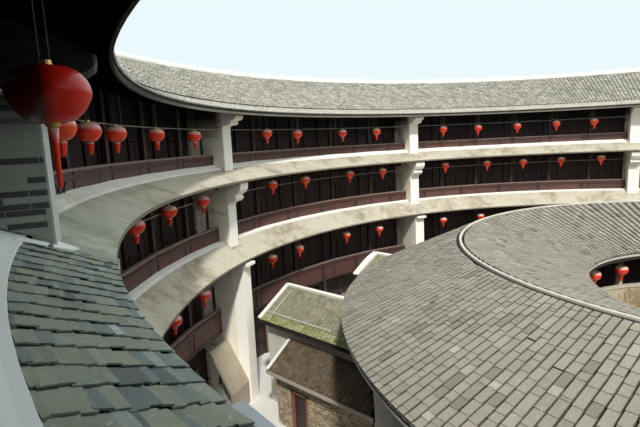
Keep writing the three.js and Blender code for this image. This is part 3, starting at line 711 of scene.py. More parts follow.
def lay_tiles(build, place, rows, length, showing, cover=0.93, rise=0.045, bevel=0.16, step=0.02,
              wander=0.3, lap=0.0, wobble=0.004, stray=0.02, skew=0.0, edge=1.0):
    """Rows of tiles, each lapping over the one below it. Rows is an array of row numbers.

    place(t, s, h) gives a point from the row number t, the way up the slope s and the height h.
    Where lap is above 0, each row also laps that share of its rise over the row before it.
    Wander, wobble, stray and skew are how far tiles lie out of line along their row, in height,
    across it and in their turn. Edge is the share of a tile's shade value that its narrow sides and
    underside keep; below 1 it paints shade on them.
    """
    count = int(math.ceil(length / showing)) + 1
    edges = (np.arange(count) - rng.uniform(0.2, 0.8, (len(rows), 1))) * showing
    edges += rng.uniform(-wander / 2, wander / 2, edges.shape) * showing
    edges[:, 0] = 0
    edges[:, 1] = np.maximum(edges[:, 1], 0.2 * showing)
    starts = np.clip(edges, 0, length)
    ends = np.clip(np.roll(edges, -1, axis=1), 0, length)
    ends[:, -1] = length
    keep = (ends - starts) > 0.15 * showing
    row = np.broadcast_to(rows[:, None], starts.shape)[keep].astype(float)
    starts, ends = starts[keep], np.minimum(ends[keep] + TILE_OVERLAP, length)
    tilt = rng.uniform(-wobble, wobble, row.shape)
    slip = rng.uniform(-stray, stray, row.shape)
    turn = rng.uniform(-skew, skew, row.shape)
    if lap:
        profile = ((-0.5, 0), (-0.5 + bevel, 1 - lap), (0.5, 1), (0.5, lap))
    else:
        profile = ((-0.5, 0), (-0.5 + bevel, 1), (0.5 - bevel, 1), (0.5, 0))
    corners = []
    for along, lift, swing in ((starts, step, turn), (ends, 0.0, -turn)):
        for side, high in profile:
            t = row + 0.5 + slip + swing + side * cover
            corners.append(place(t, along, high * rise + lift + tilt * side * 2))
    shades = np.clip(rng.normal(0.5, 0.2, row.shape), 0.1, 1)
    faces = LAPPED_FACES if lap else TILE_FACES
    # Painted shade: every face but the top gets the edge share of the tile's shade value
    edge_shade_shares = np.full(len(faces), edge)
    edge_shade_shares[TOP_FACE] = 1
    build.copies(np.stack(corners, axis=1), faces, shades[:, None] * edge_shade_shares)


def cone_place(low, high, rows, lift, askew):
    """Place on a conical slope between two r-z points, lifted off the CAD slab.

    Askew is how far round the house a row's upper end lies from its lower end, in degrees.
    """
    (r0, z0), (r1, z1) = low, high
    length = math.hypot(r1 - r0, z1 - z0)
    dr, dz = (r1 - r0) / length, (z1 - z0) / length
    nr, nz = (-dz, dr) if dr > 0 else (dz, -dr)

    def place(t, s, h):
        swing = math.radians(askew) * (np.asarray(s) / length - 0.5)
        radii, heights = r0 + dr * s + nr * (h + lift), z0 + dz * s + nz * (h + lift)
        return ring_points(t * math.tau / rows + swing, radii, heights)

    return place, length


def between(first, second, share):
    return tuple(a + (b - a) * share for a, b in zip(first, second))


def near_bays(rows):
    """Which of that many rows round the house lie in the sector with the camera."""
    turn = (np.arange(rows) + 0.5) / rows
    return np.abs((turn + 0.5) % 1 - 0.5) < 0.5 / SECTORS


def tile_ring(name, node, material, rows, showing, lift, overhang=0.06, overrun=0.0, only=None,
              askew=0.0, **looks):
    low, high = sorted(top_line(node), key=lambda point: point[1])
    length = math.dist(low, high)
    low, high = between(low, high, -overhang / length), between(low, high, 1 + overrun / length)
    build = Build()
    place, length = cone_place(low, high, rows, lift, askew)
    numbers = np.arange(rows) if only is None else np.flatnonzero(only)
    lay_tiles(build, place, numbers, length, showing, **looks)
    build.finish(name, material, "tiles")


# Rows of tiles round each slope, and how the tiles of some slopes lie
MAIN_ROWS = 560
OUTER_ROWS = 700
SKIRT_ROWS = 392
INNER_ROWS = 310
COURT_ROWS = 168
# An edge below 1 paints shade on the tiles' narrow sides
NEAR_TILES = {"cover": 1.07, "overhang": 0.0, "overrun": 0.07, "step": 0.008, "rise": 0.032, "bevel": 0.01,
              "wander": 0.9, "lap": 0.6, "wobble": 0.006, "stray": 0.06, "skew": 0.04, "edge": 0.3,
              "askew": 1.4}
LIMED_TILES = {"cover": 1.02, "overhang": 0.0, "step": 0.004, "rise": 0.003, "bevel": 0.3, "wander": 0.9,
               "wobble": 0.002}
INNER_TILES = {"wander": 0.9, "cover": 0.87, "rise": 0.085, "bevel": 0.03, "step": 0.016,
               "overhang": 0.03, "edge": 0.1, "skew": 0.02}
COURT_TILES = {"cover": 0.74, "rise": 0.1, "bevel": 0.14, "edge": 0.4}


def add_roof_tiles():
    tile_ring("main_tiles_inner", "main_roof_inner_slope", "main_tiles", MAIN_ROWS, 0.24, 0.05)
    tile_ring("main_tiles_outer", "main_roof_outer_slope", "main_tiles", OUTER_ROWS, 0.27, 0.02,
              overhang=0.0)
    near = near_bays(SKIRT_ROWS)
    kinds = (("skirt_tiles", 0.1, 0.012, near, NEAR_TILES), ("limed_tiles", 0.2, 0.035, ~near, LIMED_TILES))
    for level in ("lower", "upper"):
        for kind, showing, lift, only, looks in kinds:
            tile_ring(f"{kind}_{level}", f"skirt_roof_{level}", kind, SKIRT_ROWS, showing, lift, only=only,
                      **looks)
    tile_ring("inner_tiles_outer", "inner_roof_outer_slope", "far_tiles", INNER_ROWS, 0.36, 0.02,
              **INNER_TILES)
    tile_ring("inner_tiles_court", "inner_roof_court_slope", "far_tiles", COURT_ROWS, 0.34, 0.03,
              **COURT_TILES)


add_roof_tiles()


# Eaves, ridges and kerbs

def strip(r0, r1, z0, z1):
    return ((r0, z0), (r1, z0), (r1, z1), (r0, z1))


def rounded(r0, r1, z0, z1, bulge, steps=7):
    """A ridge: straight sides and a domed top."""
    middle, half = (r0 + r1) / 2, (r1 - r0) / 2
    turn = np.linspace(0, math.pi, steps)
    dome = [(middle + half * math.cos(a), z1 - bulge + bulge * math.sin(a)) for a in turn]
    return ((r0, z0), (r1, z0), *dome)


def add_ridges():
    cap, inner_cap, foot = builds(3)
    r0, r1, z0, z1 = span("main_ridge")
    cap.hoop(rounded(r0 - 0.02, r1, z0 + 0.25, z1, 0.2))
    cap.finish("main_ridge_cap", "white_mortar", "mortar", replaces=("main_ridge",))
    r0, r1, z0, z1 = span("inner_ridge")
    inner_cap.hoop(rounded(r0 + 0.06, r1 - 0.06, z0 + 0.05, z1 - 0.01, 0.04))
    inner_cap.finish("inner_ridge_cap", "ridge_stone", "mortar", replaces=("inner_ridge",))
    # Painted shadow: dark strips along both feet of the inner ridge
    foot.hoop(strip(r1 - 0.08, r1, z0 + 0.05, z1 - 0.09))
    foot.hoop(strip(r0 + 0.02, r0 + 0.08, z0 + 0.05, z1 - 0.1))
    foot.finish("inner_ridge_foot", "painted_shadow", "mortar")


def add_kerbs():
    """Kerb skins that lap over the tiles below them, so no gap shows between the two."""
    for storey in (3, 4):
        node = f"gallery_kerb_{storey}"
        r0, r1, z0, _ = span(node)
        (_, front), (_, back) = top_line(node)
        kerb = Build()
        kerb.hoop(((r0 + 0.04, z0), (r1 - 0.02, z0), (r1 - 0.02, back), (r0 + 0.12, front + 0.07),
                   (r0 + 0.05, front + 0.05)))
        kerb.finish(f"kerb_skin_{storey}", "limed_kerb", "mortar", replaces=(node,))


# Where a firewall's yard end stands, apart from the deeper one by the camera
PIER_END = 20.95
NEAR_END = 20.8
NEAR_FIREWALL = FIRST_FIREWALL + 2 * SECTOR

# The main roof's inner slope gets thinner towards its eave
EAVE_THICKNESS = 0.15
EAVE_TAPER = 0.6
ROOF_THICKNESS = 0.3
LAST_COURSE = 0.5


def add_main_slope():
    r0, z0, r1, z1, fall = slope("main_roof_inner_slope")
    slab = Build()
    slab.hoop(((r0, z0 - EAVE_THICKNESS), (r0 + EAVE_TAPER, z0 + EAVE_TAPER * fall - ROOF_THICKNESS),
               (r1, z1 - ROOF_THICKNESS), (r1, z1), (r0, z0)))
    # Painted shade: the boards under the main eave are near-black
    slab.finish("main_roof_boards", "painted_shade_timber", "tiles", replaces=("main_roof_inner_slope",))


def add_skirt_slabs():
    """Slabs under the skirt tiles that get thinner towards the eave."""
    for level in ("lower", "upper"):
        node = f"skirt_roof_{level}"
        r0, z0, r1, z1, _ = slope(node)
        slab = Build()
        slab.hoop(((r0, z0 - 0.06), (r0 + 0.3, z0 - 0.02), (r1, z1 - 0.16), (r1, z1), (r0, z0)))
        slab.finish(f"skirt_boards_{level}", "frame_timber", "tiles", replaces=(node,))


def add_flashings():
    """Mortar fillets where the skirt roofs meet the firewalls, on both sides and across the front."""
    fillets = Build()
    angles = FIRST_FIREWALL + SECTOR * np.arange(SECTORS)
    aside = sideways(angles)
    for node in ("skirt_roof_lower", "skirt_roof_upper"):
        r0, z0, r1, _, fall = slope(node)

        def on_slope(radius, shift):
            return ring_points(angles, radius, z0 + (radius - r0) * fall + 0.02) + aside * shift

        for side in (-1, 1):
            start, end = on_slope(PIER_END - 0.06, side * 0.47), on_slope(r1 - 0.3, side * 0.4)
            fillets.beams(start, end, aside, 0.2, 0.06)
        front = PIER_END - 0.04
        fillets.beams(on_slope(front, -0.55), on_slope(front, 0.55), (0, 0, 1), 0.07, 0.16)
    fillets.finish("pier_flashings", "limed_tiles", "mortar")


def add_near_flashing():
    """One curved ribbon of mortar round the end of the firewall by the camera."""
    r0, z0, _, _, fall = slope("skirt_roof_upper")
    aside = sideways(NEAR_FIREWALL)

    def rail(wide, height, turn):
        radius = NEAR_END - 0.1 + 0.5 * turn - wide * (1 - turn)
        shift = 0.05 + 0.6 * math.sqrt(turn) + wide * turn
        return ring_points(NEAR_FIREWALL, radius, z0 + (radius - r0) * fall + height) + aside * shift

    turns = np.linspace(0, 1, 9)
    rails = [np.array([rail(wide, height, turn) for turn in turns])
             for height in (0.0, 0.07) for wide in (-0.1, 0.14)]
    low_in, low_out, high_in, high_out = rails
    corners = (low_in[:-1], low_out[:-1], low_out[1:], low_in[1:],
               high_in[:-1], high_out[:-1], high_out[1:], high_in[1:])
    smear = Build()
    smear.copies(np.stack(corners, axis=1), BOX_FACES, 0.5)
    smear.finish("near_flashing", "limed_kerb", "mortar")


FOOTING_STONES = 14


def add_footings():
    """Rough stones round the yard end of each firewall."""
    stones = Build()
    count = FOOTING_STONES
    for sector in range(SECTORS):
        angles = FIRST_FIREWALL + SECTOR * sector + rng.uniform(-0.028, 0.028, count)
        reach = rng.uniform(PIER_END - 0.42, PIER_END - 0.1, count)
        tops = rng.uniform(0.12, 0.5, count) * np.clip((reach - PIER_END + 0.5) / 0.3, 0.3, 1)
        ends = reach + rng.uniform(0.25, 0.45, count)
        stones.blocks(angles, reach, ends, rng.uniform(0.2, 0.42, count), 0.01, tops)
    stones.finish("pier_footings", "footing_stone", "stone")


# Bearings of the plank under the near eave, in degrees
PLANK_BEARINGS = np.arange(-9.1, 3.0, 1.0)


def add_eave_plank():
    """The pale plank that lies under the near eave, past the ends of its tiles."""
    r0, top, _, _, _ = slope("skirt_roof_upper")
    plank = Build()
    points = ring_points(np.radians(PLANK_BEARINGS), r0 - 0.115, top - 0.05)
    plank.beams(points[:-1], points[1:], (0, 0, 1), 0.03, 0.1)
    plank.finish("eave_plank", "pale_plank", "timber")


def add_main_eave(fascia, last, shadow_strips):
    """A board, a painted shadow line, a limed last course and painted shadow blocks behind it, with a
    painted shadow strip at the outer eave.
    """
    r0, top, _, _, fall = slope("main_roof_inner_slope")
    low = top - EAVE_THICKNESS
    behind, over = r0 + LAST_COURSE, top + LAST_COURSE * fall
    fascia.hoop(strip(r0 - 0.07, r0 - 0.02, low, low + 0.09))
    shadow_strips.hoop(strip(r0 - 0.05, r0 - 0.01, low + 0.09, top + 0.03))
    edge = r0 - 0.08
    last.hoop(((edge, top + 0.03), (behind, over + 0.05), (behind, over + 0.115), (edge, top + 0.085)))
    shadow_strips.blocks(even_turns(MAIN_ROWS), behind - 0.01, behind + 0.11, 0.14, over, over + 0.165)
    _, r1, z0, _ = span("main_roof_outer_slope")
    shadow_strips.hoop(strip(r1 - 0.12, r1 - 0.02, z0, z0 + 0.2))


def add_inner_eaves(edge, shadow_strips, white):
    """Tile ends over pale strips and a painted shadow strip at the outer eave, and a thin edge with a
    painted shadow strip under it round the court.
    """
    _, _, r1, top, _ = slope("inner_roof_outer_slope")
    edge.blocks(even_turns(INNER_ROWS), r1 - 0.02, r1 + 0.05, 0.16, top - 0.03, top + 0.06)
    shadow_strips.hoop(strip(r1 - 0.05, r1, top - 0.15, top - 0.06))
    # Pale boards, partly their own white and partly painted light, made extra white where they face away
    # from the sun
    white.hoop(strip(r1 - 0.06, r1 + 0.01, top - 0.23, top - 0.15))
    white.hoop(strip(r1 - 0.02, r1 + 0.03, top - 0.05, top - 0.01))
    r0, top, _, _, _ = slope("inner_roof_court_slope")
    edge.hoop(strip(r0 - 0.05, r0, top - 0.09, top))
    shadow_strips.hoop(strip(r0 - 0.02, r0, top - 0.22, top - 0.09))


def add_eaves():
    fascia, last, edge, shadow_strips, wood, white = builds(6)
    add_main_eave(fascia, last, shadow_strips)
    for node in ("skirt_roof_lower", "skirt_roof_upper"):
        r0, top, _, _, _ = slope(node)
        wood.hoop(strip(r0 - 0.02, r0 + 0.03, top - 0.05, top + 0.02))
    add_inner_eaves(edge, shadow_strips, white)
    fascia.finish("eave_boards", "fascia_boards", "mortar")
    last.finish("eave_courses", "last_course", "mortar")
    edge.finish("inner_eave_ends", "ridge_stone", "mortar")
    white.finish("inner_eave_boards", "white_mortar", "mortar")
    wood.finish("skirt_eave_boards", "eave_edge_wood", "timber")
    shadow_strips.finish("eave_painted_shadows", "painted_shadow", "timber")


add_ridges()
add_kerbs()
add_main_slope()
add_skirt_slabs()
add_flashings()
add_near_flashing()
add_footings()
add_eave_plank()
add_eaves()


# Timber of the galleries

RAIL = 0.11
PARAPET_THICKNESS = 0.09
POLE_RADIUS = 21.15
DOOR_WIDTH = 0.85
DOOR_HEIGHT = 1.9
# Lower and upper edge of the panels of a leaf, and height of the rails beside it, above the floor
DOOR_PANELS = ((0.16, 0.78), (0.9, 1.74))
FRONT_RAILS = (0.85, 2.35)
# How far the posts in front of the rooms end below the top of the front
POST_STOP = 0.45
# Radii between which rafters show under the main eave, and how far they lie under its slope
RAFTERS = (20.6, 23.0)
RAFTER_DROP = 0.36


def edge_radius(radius, angles):
    """Distance of a straight bay's side from the middle at any angle."""
    lines = bay_lines()
    lines = np.append(lines, lines[0] + math.tau)
    place = np.clip(np.searchsorted(lines, angles, side="right") - 1, 0, len(lines) - 2)
    middle = (lines[place] + lines[place + 1]) / 2
    half = (lines[place + 1] - lines[place]) / 2
    return radius * np.cos(half) / np.cos(angles - middle)


def add_braces(rails, r0, low, high):
    """Crossed braces in the bays beside the firewall by the camera."""
    lines = bay_lines(4)
    beside = np.abs((lines - NEAR_FIREWALL + math.pi) % math.tau - math.pi) < 2 * SECTOR / SIDE_BAYS
    firsts, nexts = lines[beside], np.roll(lines, -1)[beside]
    for bottom, top in ((firsts, nexts), (nexts, firsts)):
        starts = ring_points(bottom, edge_radius(r0, bottom) - 0.02, low)
        ends = ring_points(top, edge_radius(r0, top) - 0.02, high)
        rails.beams(starts, ends, (0, 0, 1), 0.06, 0.03, 0.35)


# Height of each storey's top parapet board, and the storey with crossed braces
PARAPET_TOPS = {2: 4.71, 3: 8.8, 4: 12.25}
BRACED = 4


def add_parapet(storey, board_top):
    """Rails and stiles on a parapet's boards, with a worn top rail."""
    r0, _, foot, _ = span(f"gallery_parapet_{storey}")
    lines = bay_lines()
    rails, worn = builds(2)
    worn.hoop(strip(r0 - 0.03, r0 + PARAPET_THICKNESS + 0.04, board_top, board_top + 0.07), lines, 0.7)
    for height in (foot + 0.02, board_top - 0.2):
        rails.hoop(strip(r0 - 0.035, r0 + 0.01, height, height + RAIL), lines, 0.4)
    reach = edge_radius(r0, lines)
    shades = rng.uniform(0.2, 0.8, len(lines))
    rails.blocks(lines, reach - 0.03, reach + 0.01, 0.09, foot + 0.1, board_top, shades)
    if storey == BRACED:
        add_braces(rails, r0, foot + 0.14, board_top - 0.2)
    rails.finish(f"parapet_rails_{storey}", "frame_timber", "timber")
    worn.finish(f"parapet_top_rail_{storey}", "hand_rail", "timber")


def add_joists():
    """Joists under each gallery floor, with their ends showing."""
    joists = Build()
    places = clear_of_firewalls(bay_lines(3))
    for storey in (2, 3, 4):
        edge, _, z0, _ = span(f"gallery_floor_{storey}")
        front, _, _, _ = span(f"room_front_{storey}")
        joists.blocks(places, edge_radius(edge, places) + 0.02, edge_radius(front, places), 0.12,
                      z0 - 0.18, z0 - 0.004, rng.uniform(0, 1, len(places)))
    joists.finish("gallery_joists", "frame_timber", "timber")


def add_rafters():
    rafters = Build()
    r0, z0, _, _, fall = slope("main_roof_inner_slope")
    places = clear_of_firewalls(bay_lines(4))
    starts, ends = (ring_points(places, r, z0 - RAFTER_DROP + (r - r0) * fall) for r in RAFTERS)
    rafters.beams(starts, ends, sideways(places), 0.12, 0.1, rng.uniform(0, 1, len(places)))
    # Painted shade: the rafters under the main eave are near-black
    rafters.finish("eave_rafters", "painted_shade_timber", "timber")


# Heights of the poles along the upper galleries and of the beams that they hang from
POLE_ROWS = ((13.42, 14.3), (10.36, 11.3))


def add_poles():
    """Thin poles along the upper galleries, hung from the beams above at every bay."""
    poles = Build()
    lines = bay_lines()
    for height, hook in POLE_ROWS:
        poles.hoop(strip(POLE_RADIUS, POLE_RADIUS + 0.03, height, height + 0.03), lines, 0.8)
        poles.blocks(lines, POLE_RADIUS, POLE_RADIUS + 0.02, 0.02, height, hook, 0.2)
    poles.finish("gallery_poles", "weathered_timber", "timber")


def sector_of(angle):
    return int(((angle - FIRST_FIREWALL) % math.tau) // SECTOR)


def add_doors(storey):
    """Two closed leaves with panels, a frame and a threshold in every room doorway of a storey, rails
    beside them, and a post at every bay."""
    r0, _, z0, high = span(f"room_front_{storey}")
    centres = bay_centres()
    if storey == 1:
        centres = np.delete(centres, (AXIS_BAYS - 1) // 2)
    reach = r0 * np.cos(np.array([SECTOR / bay_count(sector_of(angle)) / 2 for angle in centres]))
    shades = rng.uniform(0.1, 0.9, len(centres))
    half, top = DOOR_WIDTH / 2, z0 + DOOR_HEIGHT
    leaves, frames = builds(2)
    front, back = reach - 0.03, reach + 0.14
    for side in (-1, 1):
        leaves.blocks(centres, reach + 0.05, reach + 0.09, half - 0.03, z0 + 0.06, top - 0.06, shades,
                      side * (half / 2 - 0.005))
        for low, up in DOOR_PANELS:
            leaves.blocks(centres, reach + 0.035, reach + 0.06, half - 0.16, z0 + low, z0 + up, shades * 0.6,
                          side * half / 2)
        frames.blocks(centres, front, back, 0.07, z0, top + 0.05, 0.6, side * (half + 0.01))
    frames.blocks(centres, front, back, DOOR_WIDTH + 0.16, top - 0.02, top + 0.09, 0.6)
    frames.blocks(centres, front, reach + 0.13, DOOR_WIDTH, z0 + 0.002, z0 + 0.07, 0.3)
    post_top = high - POST_STOP
    for height in FRONT_RAILS:
        rail = min(post_top, z0 + height)
        for side in (-1, 1):
            frames.blocks(centres, reach - 0.025, reach + 0.01, 0.75, rail, rail + 0.09, 0.4, side * 0.88)
    leaves.blocks(bay_lines(), r0 - 0.04, r0 + 0.02, 0.16, z0 + 0.01, post_top, 0.5)
    wood = "weathered_timber" if storey == 1 else "room_front_boards"
    leaves.finish(f"door_leaves_{storey}", wood, "timber")
    frames.finish(f"door_frames_{storey}", "frame_timber", "timber")


# Every how many bays a row of windows has one, and their width, height and sill
WINDOW_ROWS = ((1, 0.56, 0.76, 12.15), (2, 0.36, 0.62, 8.85))
WINDOW_FRAME = (27.9, 28.02)
WINDOW_BARS = (27.94, 27.98)
WINDOW_BATTEN = 0.06


def add_windows():
    """Frames and bars in each window of the outer wall."""
    frames, bars = builds(2)
    for every, width, height, sill in WINDOW_ROWS:
        centres = bay_centres()[::every]
        top, batten = sill + height, WINDOW_BATTEN
        for side in (-1, 1):
            frames.blocks(centres, *WINDOW_FRAME, batten, sill, top, 0.5, side * (width / 2 - 0.03))
        for low in (sill, top - batten):
            frames.blocks(centres, *WINDOW_FRAME, width, low, low + batten, 0.4)
        for part in (-0.25, 0.0, 0.25):
            bars.blocks(centres, *WINDOW_BARS, 0.03, sill + 0.05, top - 0.05, 0.6, part * width)
    frames.finish("window_frames", "weathered_timber", "timber")
    bars.finish("window_bars", "frame_timber", "timber")


for number, board_top in PARAPET_TOPS.items():
    add_parapet(number, board_top)
add_joists()
add_rafters()
add_poles()
for number in range(1, 5):
    add_doors(number)
add_windows()


# Materials of the CAD nodes that show

def numbered(name, first, last):
    return [f"{name}_{number}" for number in range(first, last + 1)]


CAD_LOOKS = {
    "room_front_boards": ["inner_ring_posts"] + numbered("room_front", 1, 4)
                         + numbered("inner_ring_front", 1, 2),
    "parapet_boards": numbered("gallery_parapet", 2, 4),
    "floor_boards": numbered("gallery_floor", 2, 4) + ["inner_ring_floor"],
    "pier_brick": numbered("firewall", 1, 2) + numbered("firewall", 4, 8),
    "near_pier_brick": ["firewall_3"],
    "rammed_earth": numbered("outer_wall", 1, 8),
    "plinth_stone": ["stone_plinth"],
    "gate_stone": ["gate_frame"],
    "yard_wall_brick": ["inner_ring_wall", "porch_walls", "side_house_walls"],
    "yard_stone": ["lean_to_walls"],
    "store_render": ["wall_store"],
    "court_brick": ["inner_ring_balustrade"],
    # Painted shade: the slabs under the tiles are near-black, so the channels between rows read dark
    "painted_shadow": ["porch_roof", "side_house_roof", "lean_to_roof", "main_roof_outer_slope",
                 "inner_roof_outer_slope", "inner_roof_court_slope"],
}

for look, cad_nodes in CAD_LOOKS.items():
    for cad_node in cad_nodes:
        for cad_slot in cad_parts[cad_node].material_slots:
            cad_slot.material = MATERIALS[look]


# Yard houses

YARD_ROOF = 0.18
YARD_TILE = 0.24
YARD_SHOWING = 0.16
MOSS_STRIP = 0.4
INNER_WALL = 13.8
# Where the coping, the mortar lines and the lean-to's eave board end, towards the inner ring
WHITE_RIDGE_END = -13.85
LINE_END = -13.9
FASCIA_END = -10.6
# Distance of the mortar line from the gable end, and its two ends as shares of the way up the slope
LINE_INSET = 0.62
LINE_SPAN = (0.22, 0.85)
ABOVE_TILES = 0.05


def plane_place(corner, across, up, row, lift):
    """Place on a flat slope from its lower corner, one unit across and one unit up it."""
    corner, across, up = (np.asarray(value, float) for value in (corner, across, up))
    normal = np.cross(across, up)
    normal *= np.sign(normal[2])

    def place(t, s, h):
        return (corner + across * (np.asarray(t) * row)[..., None] + up * np.asarray(s)[..., None]
                + normal * (np.asarray(h) + lift)[..., None])

    return place


def cut_by_ring(build, radius):
    """Leaves out the faces of a build that lie inside the inner ring's wall."""
    points = np.concatenate(build.points)
    for index, faces in enumerate(build.faces):
        middle = points[faces].mean(axis=1)
        outside = np.hypot(middle[:, 0], middle[:, 1]) > radius
        build.faces[index] = faces[outside]
        build.shades[index] = np.asarray(build.shades[index])[outside]


def node_box(node):
    return [np.array(corner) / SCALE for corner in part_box(node)]


def yard_roof(name, node, material, lines):
    """Tiles on slopes of a yard roof. Each slope runs between two x-z points, the lower one first."""
    low, high = node_box(node)
    build = Build()
    for (x0, z0), (x1, z1) in lines:
        length = math.hypot(x1 - x0, z1 - z0)
        up = ((x1 - x0) / length, 0, (z1 - z0) / length)
        rows = int((high[1] - low[1]) / YARD_TILE)
        place = plane_place((x0, low[1], z0), (0, 1, 0), up, (high[1] - low[1]) / rows, 0.01)
        lay_tiles(build, place, np.arange(rows), length, YARD_SHOWING, rise=0.04)
    cut_by_ring(build, INNER_WALL)
    build.finish(name, material, "tiles")


def gable_roof(label, mossy):
    node = f"{label}_roof"
    low, high = node_box(node)
    ridge = ((low[0] + high[0]) / 2, high[2])
    eaves = [(low[0], low[2] + YARD_ROOF), (high[0], low[2] + YARD_ROOF)]
    share = MOSS_STRIP / math.dist(eaves[0], ridge) if mossy else 0.0
    clean = [(between(eave, ridge, share), ridge) for eave in eaves]
    yard_roof(f"{label}_tiles", node, "olive_tiles", clean)
    if mossy:
        strips = [(eave, between(eave, ridge, share)) for eave in eaves]
        yard_roof(f"{label}_moss", node, "moss_tiles", strips)


def coping(build, node, bulge, width):
    """A rounded white coping on the gable end that faces the gate, and a flat one along the ridge."""
    low, high = node_box(node)
    middle, half = (low[0] + high[0]) / 2, (high[0] - low[0]) / 2
    eave, rise = low[2] + YARD_ROOF, high[2] - low[2] - YARD_ROOF
    points = np.array([(middle + half * turn, low[1] + width / 2,
                        eave + rise * (1 - abs(turn) ** bulge) + ABOVE_TILES)
                       for turn in np.linspace(-1, 1, 13)])
    build.beams(points[:-1], points[1:], (0, 1, 0), width, 0.13, 0.7)
    top = high[2] + 0.03
    build.beam((middle, low[1], top), (middle, WHITE_RIDGE_END, top), (1, 0, 0), 0.24, 0.12, 0.7)


def mortar_lines(build, node):
    """Thin lines of mortar inside the eave and the gable end of both slopes."""
    low, high = node_box(node)
    ridge = np.array(((low[0] + high[0]) / 2, high[2] + ABOVE_TILES))
    side = low[1] + LINE_INSET
    for x in (low[0], high[0]):
        eave = np.array((x, low[2] + YARD_ROOF + ABOVE_TILES))
        foot, head = (eave + (ridge - eave) * share for share in LINE_SPAN)
        start = (foot[0], side, foot[1])
        build.beam(start, (foot[0], LINE_END, foot[1]), (1, 0, 0), 0.07, 0.05, 0.4)
        build.beam(start, (head[0], side, head[1]), (0, 1, 0), 0.05, 0.05, 0.4)


def add_yard_houses():
    gable_roof("porch", False)
    gable_roof("side_house", True)
    low, high = node_box("lean_to_roof")
    eave = low[2] + YARD_ROOF
    yard_roof("lean_to_tiles", "lean_to_roof", "brown_tiles", [((high[0], eave), (low[0], high[2]))])
    white, lines, boards = builds(3)
    coping(white, "porch_roof", 1.35, 0.34)
    coping(white, "side_house_roof", 1.0, 0.2)
    verge = low[1] + 0.08
    white.beam((low[0], verge, high[2] + 0.03), (high[0], verge, eave + 0.03), (0, 1, 0), 0.16, 0.09, 0.7)
    white.finish("yard_copings", "white_mortar", "mortar")
    mortar_lines(lines, "side_house_roof")
    lines.finish("side_house_lines", "lime_mortar", "mortar")
    edge, height = high[0] + 0.01, low[2] + 0.1
    boards.beam((edge, low[1], height), (edge, FASCIA_END, height), (0, 0, 1), 0.16, 0.05, 0.8)
    boards.finish("lean_to_fascia", "worn_rail", "timber")


# The sides and the top of the lean-to's doorway
LEAN_TO_DOOR = (-15.4, -14.4, 1.95)


def add_lean_to_door():
    """A red-brown frame with a dark leaf in the doorway of the lean-to."""
    y0, y1, top = LEAN_TO_DOOR
    _, high = node_box("lean_to_walls")
    front = high[0] - 0.05
    back = high[0] - 0.12
    frame_parts, leaf = builds(2)
    for y in (y0 + 0.05, y1 - 0.05):
        frame_parts.beam((front, y, 0.02), (front, y, top), (0, 1, 0), 0.1, 0.16, 0.6)
    frame_parts.beam((front, y0, top - 0.05), (front, y1, top - 0.05), (1, 0, 0), 0.16, 0.1, 0.6)
    leaf.beam((back, y0 + 0.1, top / 2), (back, y1 - 0.1, top / 2), (0, 0, 1), top - 0.1, 0.04, 0.4)
    frame_parts.finish("lean_to_door_frame", "red_timber", "timber")
    leaf.finish("lean_to_door_leaf", "room_front_boards", "timber")


add_yard_houses()
add_lean_to_door()


# Court of the inner ring

BALUSTRADE_TOP = 5.3
COURT_SIDES = 40
COURT_BRICKS = 160
COURT_BRICK_ROWS = (0.35, 0.65, 0.95)


def add_court():
    """A worn rail on the balustrade, and three rows of bricks that stand out of it."""
    r0, _, z0, _ = span("inner_ring_balustrade")
    rails, bricks = builds(2)
    profile = strip(r0 - 0.05, r0 + 0.18, BALUSTRADE_TOP - 0.02, BALUSTRADE_TOP + 0.08)
    rails.hoop(profile, even_turns(COURT_SIDES), 0.8)
    rails.finish("court_rail", "worn_rail", "timber")
    places = even_turns(COURT_BRICKS)
    for low in COURT_BRICK_ROWS:
        shades = rng.uniform(0, 1, COURT_BRICKS)
        bricks.blocks(places, r0 - 0.03, r0 + 0.02, 0.12, z0 + low, z0 + low + 0.2, shades)
    bricks.finish("court_brick_pattern", "court_brick", "stone")


add_court()


# Lanterns

LANTERN_WIDTH = 0.58
LANTERN_HEIGHT = 0.44
LANTERN_RADIUS = 20.9
RIBS = 24
WIRE = 0.006
WIRE_GAP = 0.07
# Height of each storey's lanterns and of the hooks that they hang from
LANTERN_ROWS = ((4, 13.15, 14.38), (3, 10.45, 11.3), (2, 6.45, 7.62))
# Degrees from the firewall that begins each sector, for the sectors that the photo shows
LANTERNS = {
    4: {0: (8.9, 17.1, 28.1, 35.5), 1: (8.0, 16.8, 26.0, 32.2, 38.8), 2: (31.5, 38.6),
        7: (7.4, 14.5, 22.3, 30.6, 38.3)},
    3: {0: (7.7, 15.7, 26.7, 34.9), 1: (7.2, 15.5, 23.8, 31.6, 38.5), 7: (5.9, 13.4, 21.0, 28.6, 37.9)},
    2: {0: (8.9, 17.1, 29.1, 36.1), 1: (8.9, 16.8, 25.0, 33.0), 7: (7.0, 14.5, 22.3, 30.0, 38.5)},
}
REPEATED_SECTOR = 7
NEAR_LANTERN = {"bearing": 346.4, "radius": 20.68, "height": 13.16, "hook": 14.3, "broad": 1.08}
COURT_LANTERNS = {"bearings": (237.0, 252.3, 207.0, 162.0, 117.0, 72.0, 27.0, 342.0, 297.0),
                  "radius": 6.5, "height": 6.15, "hook": 6.85}

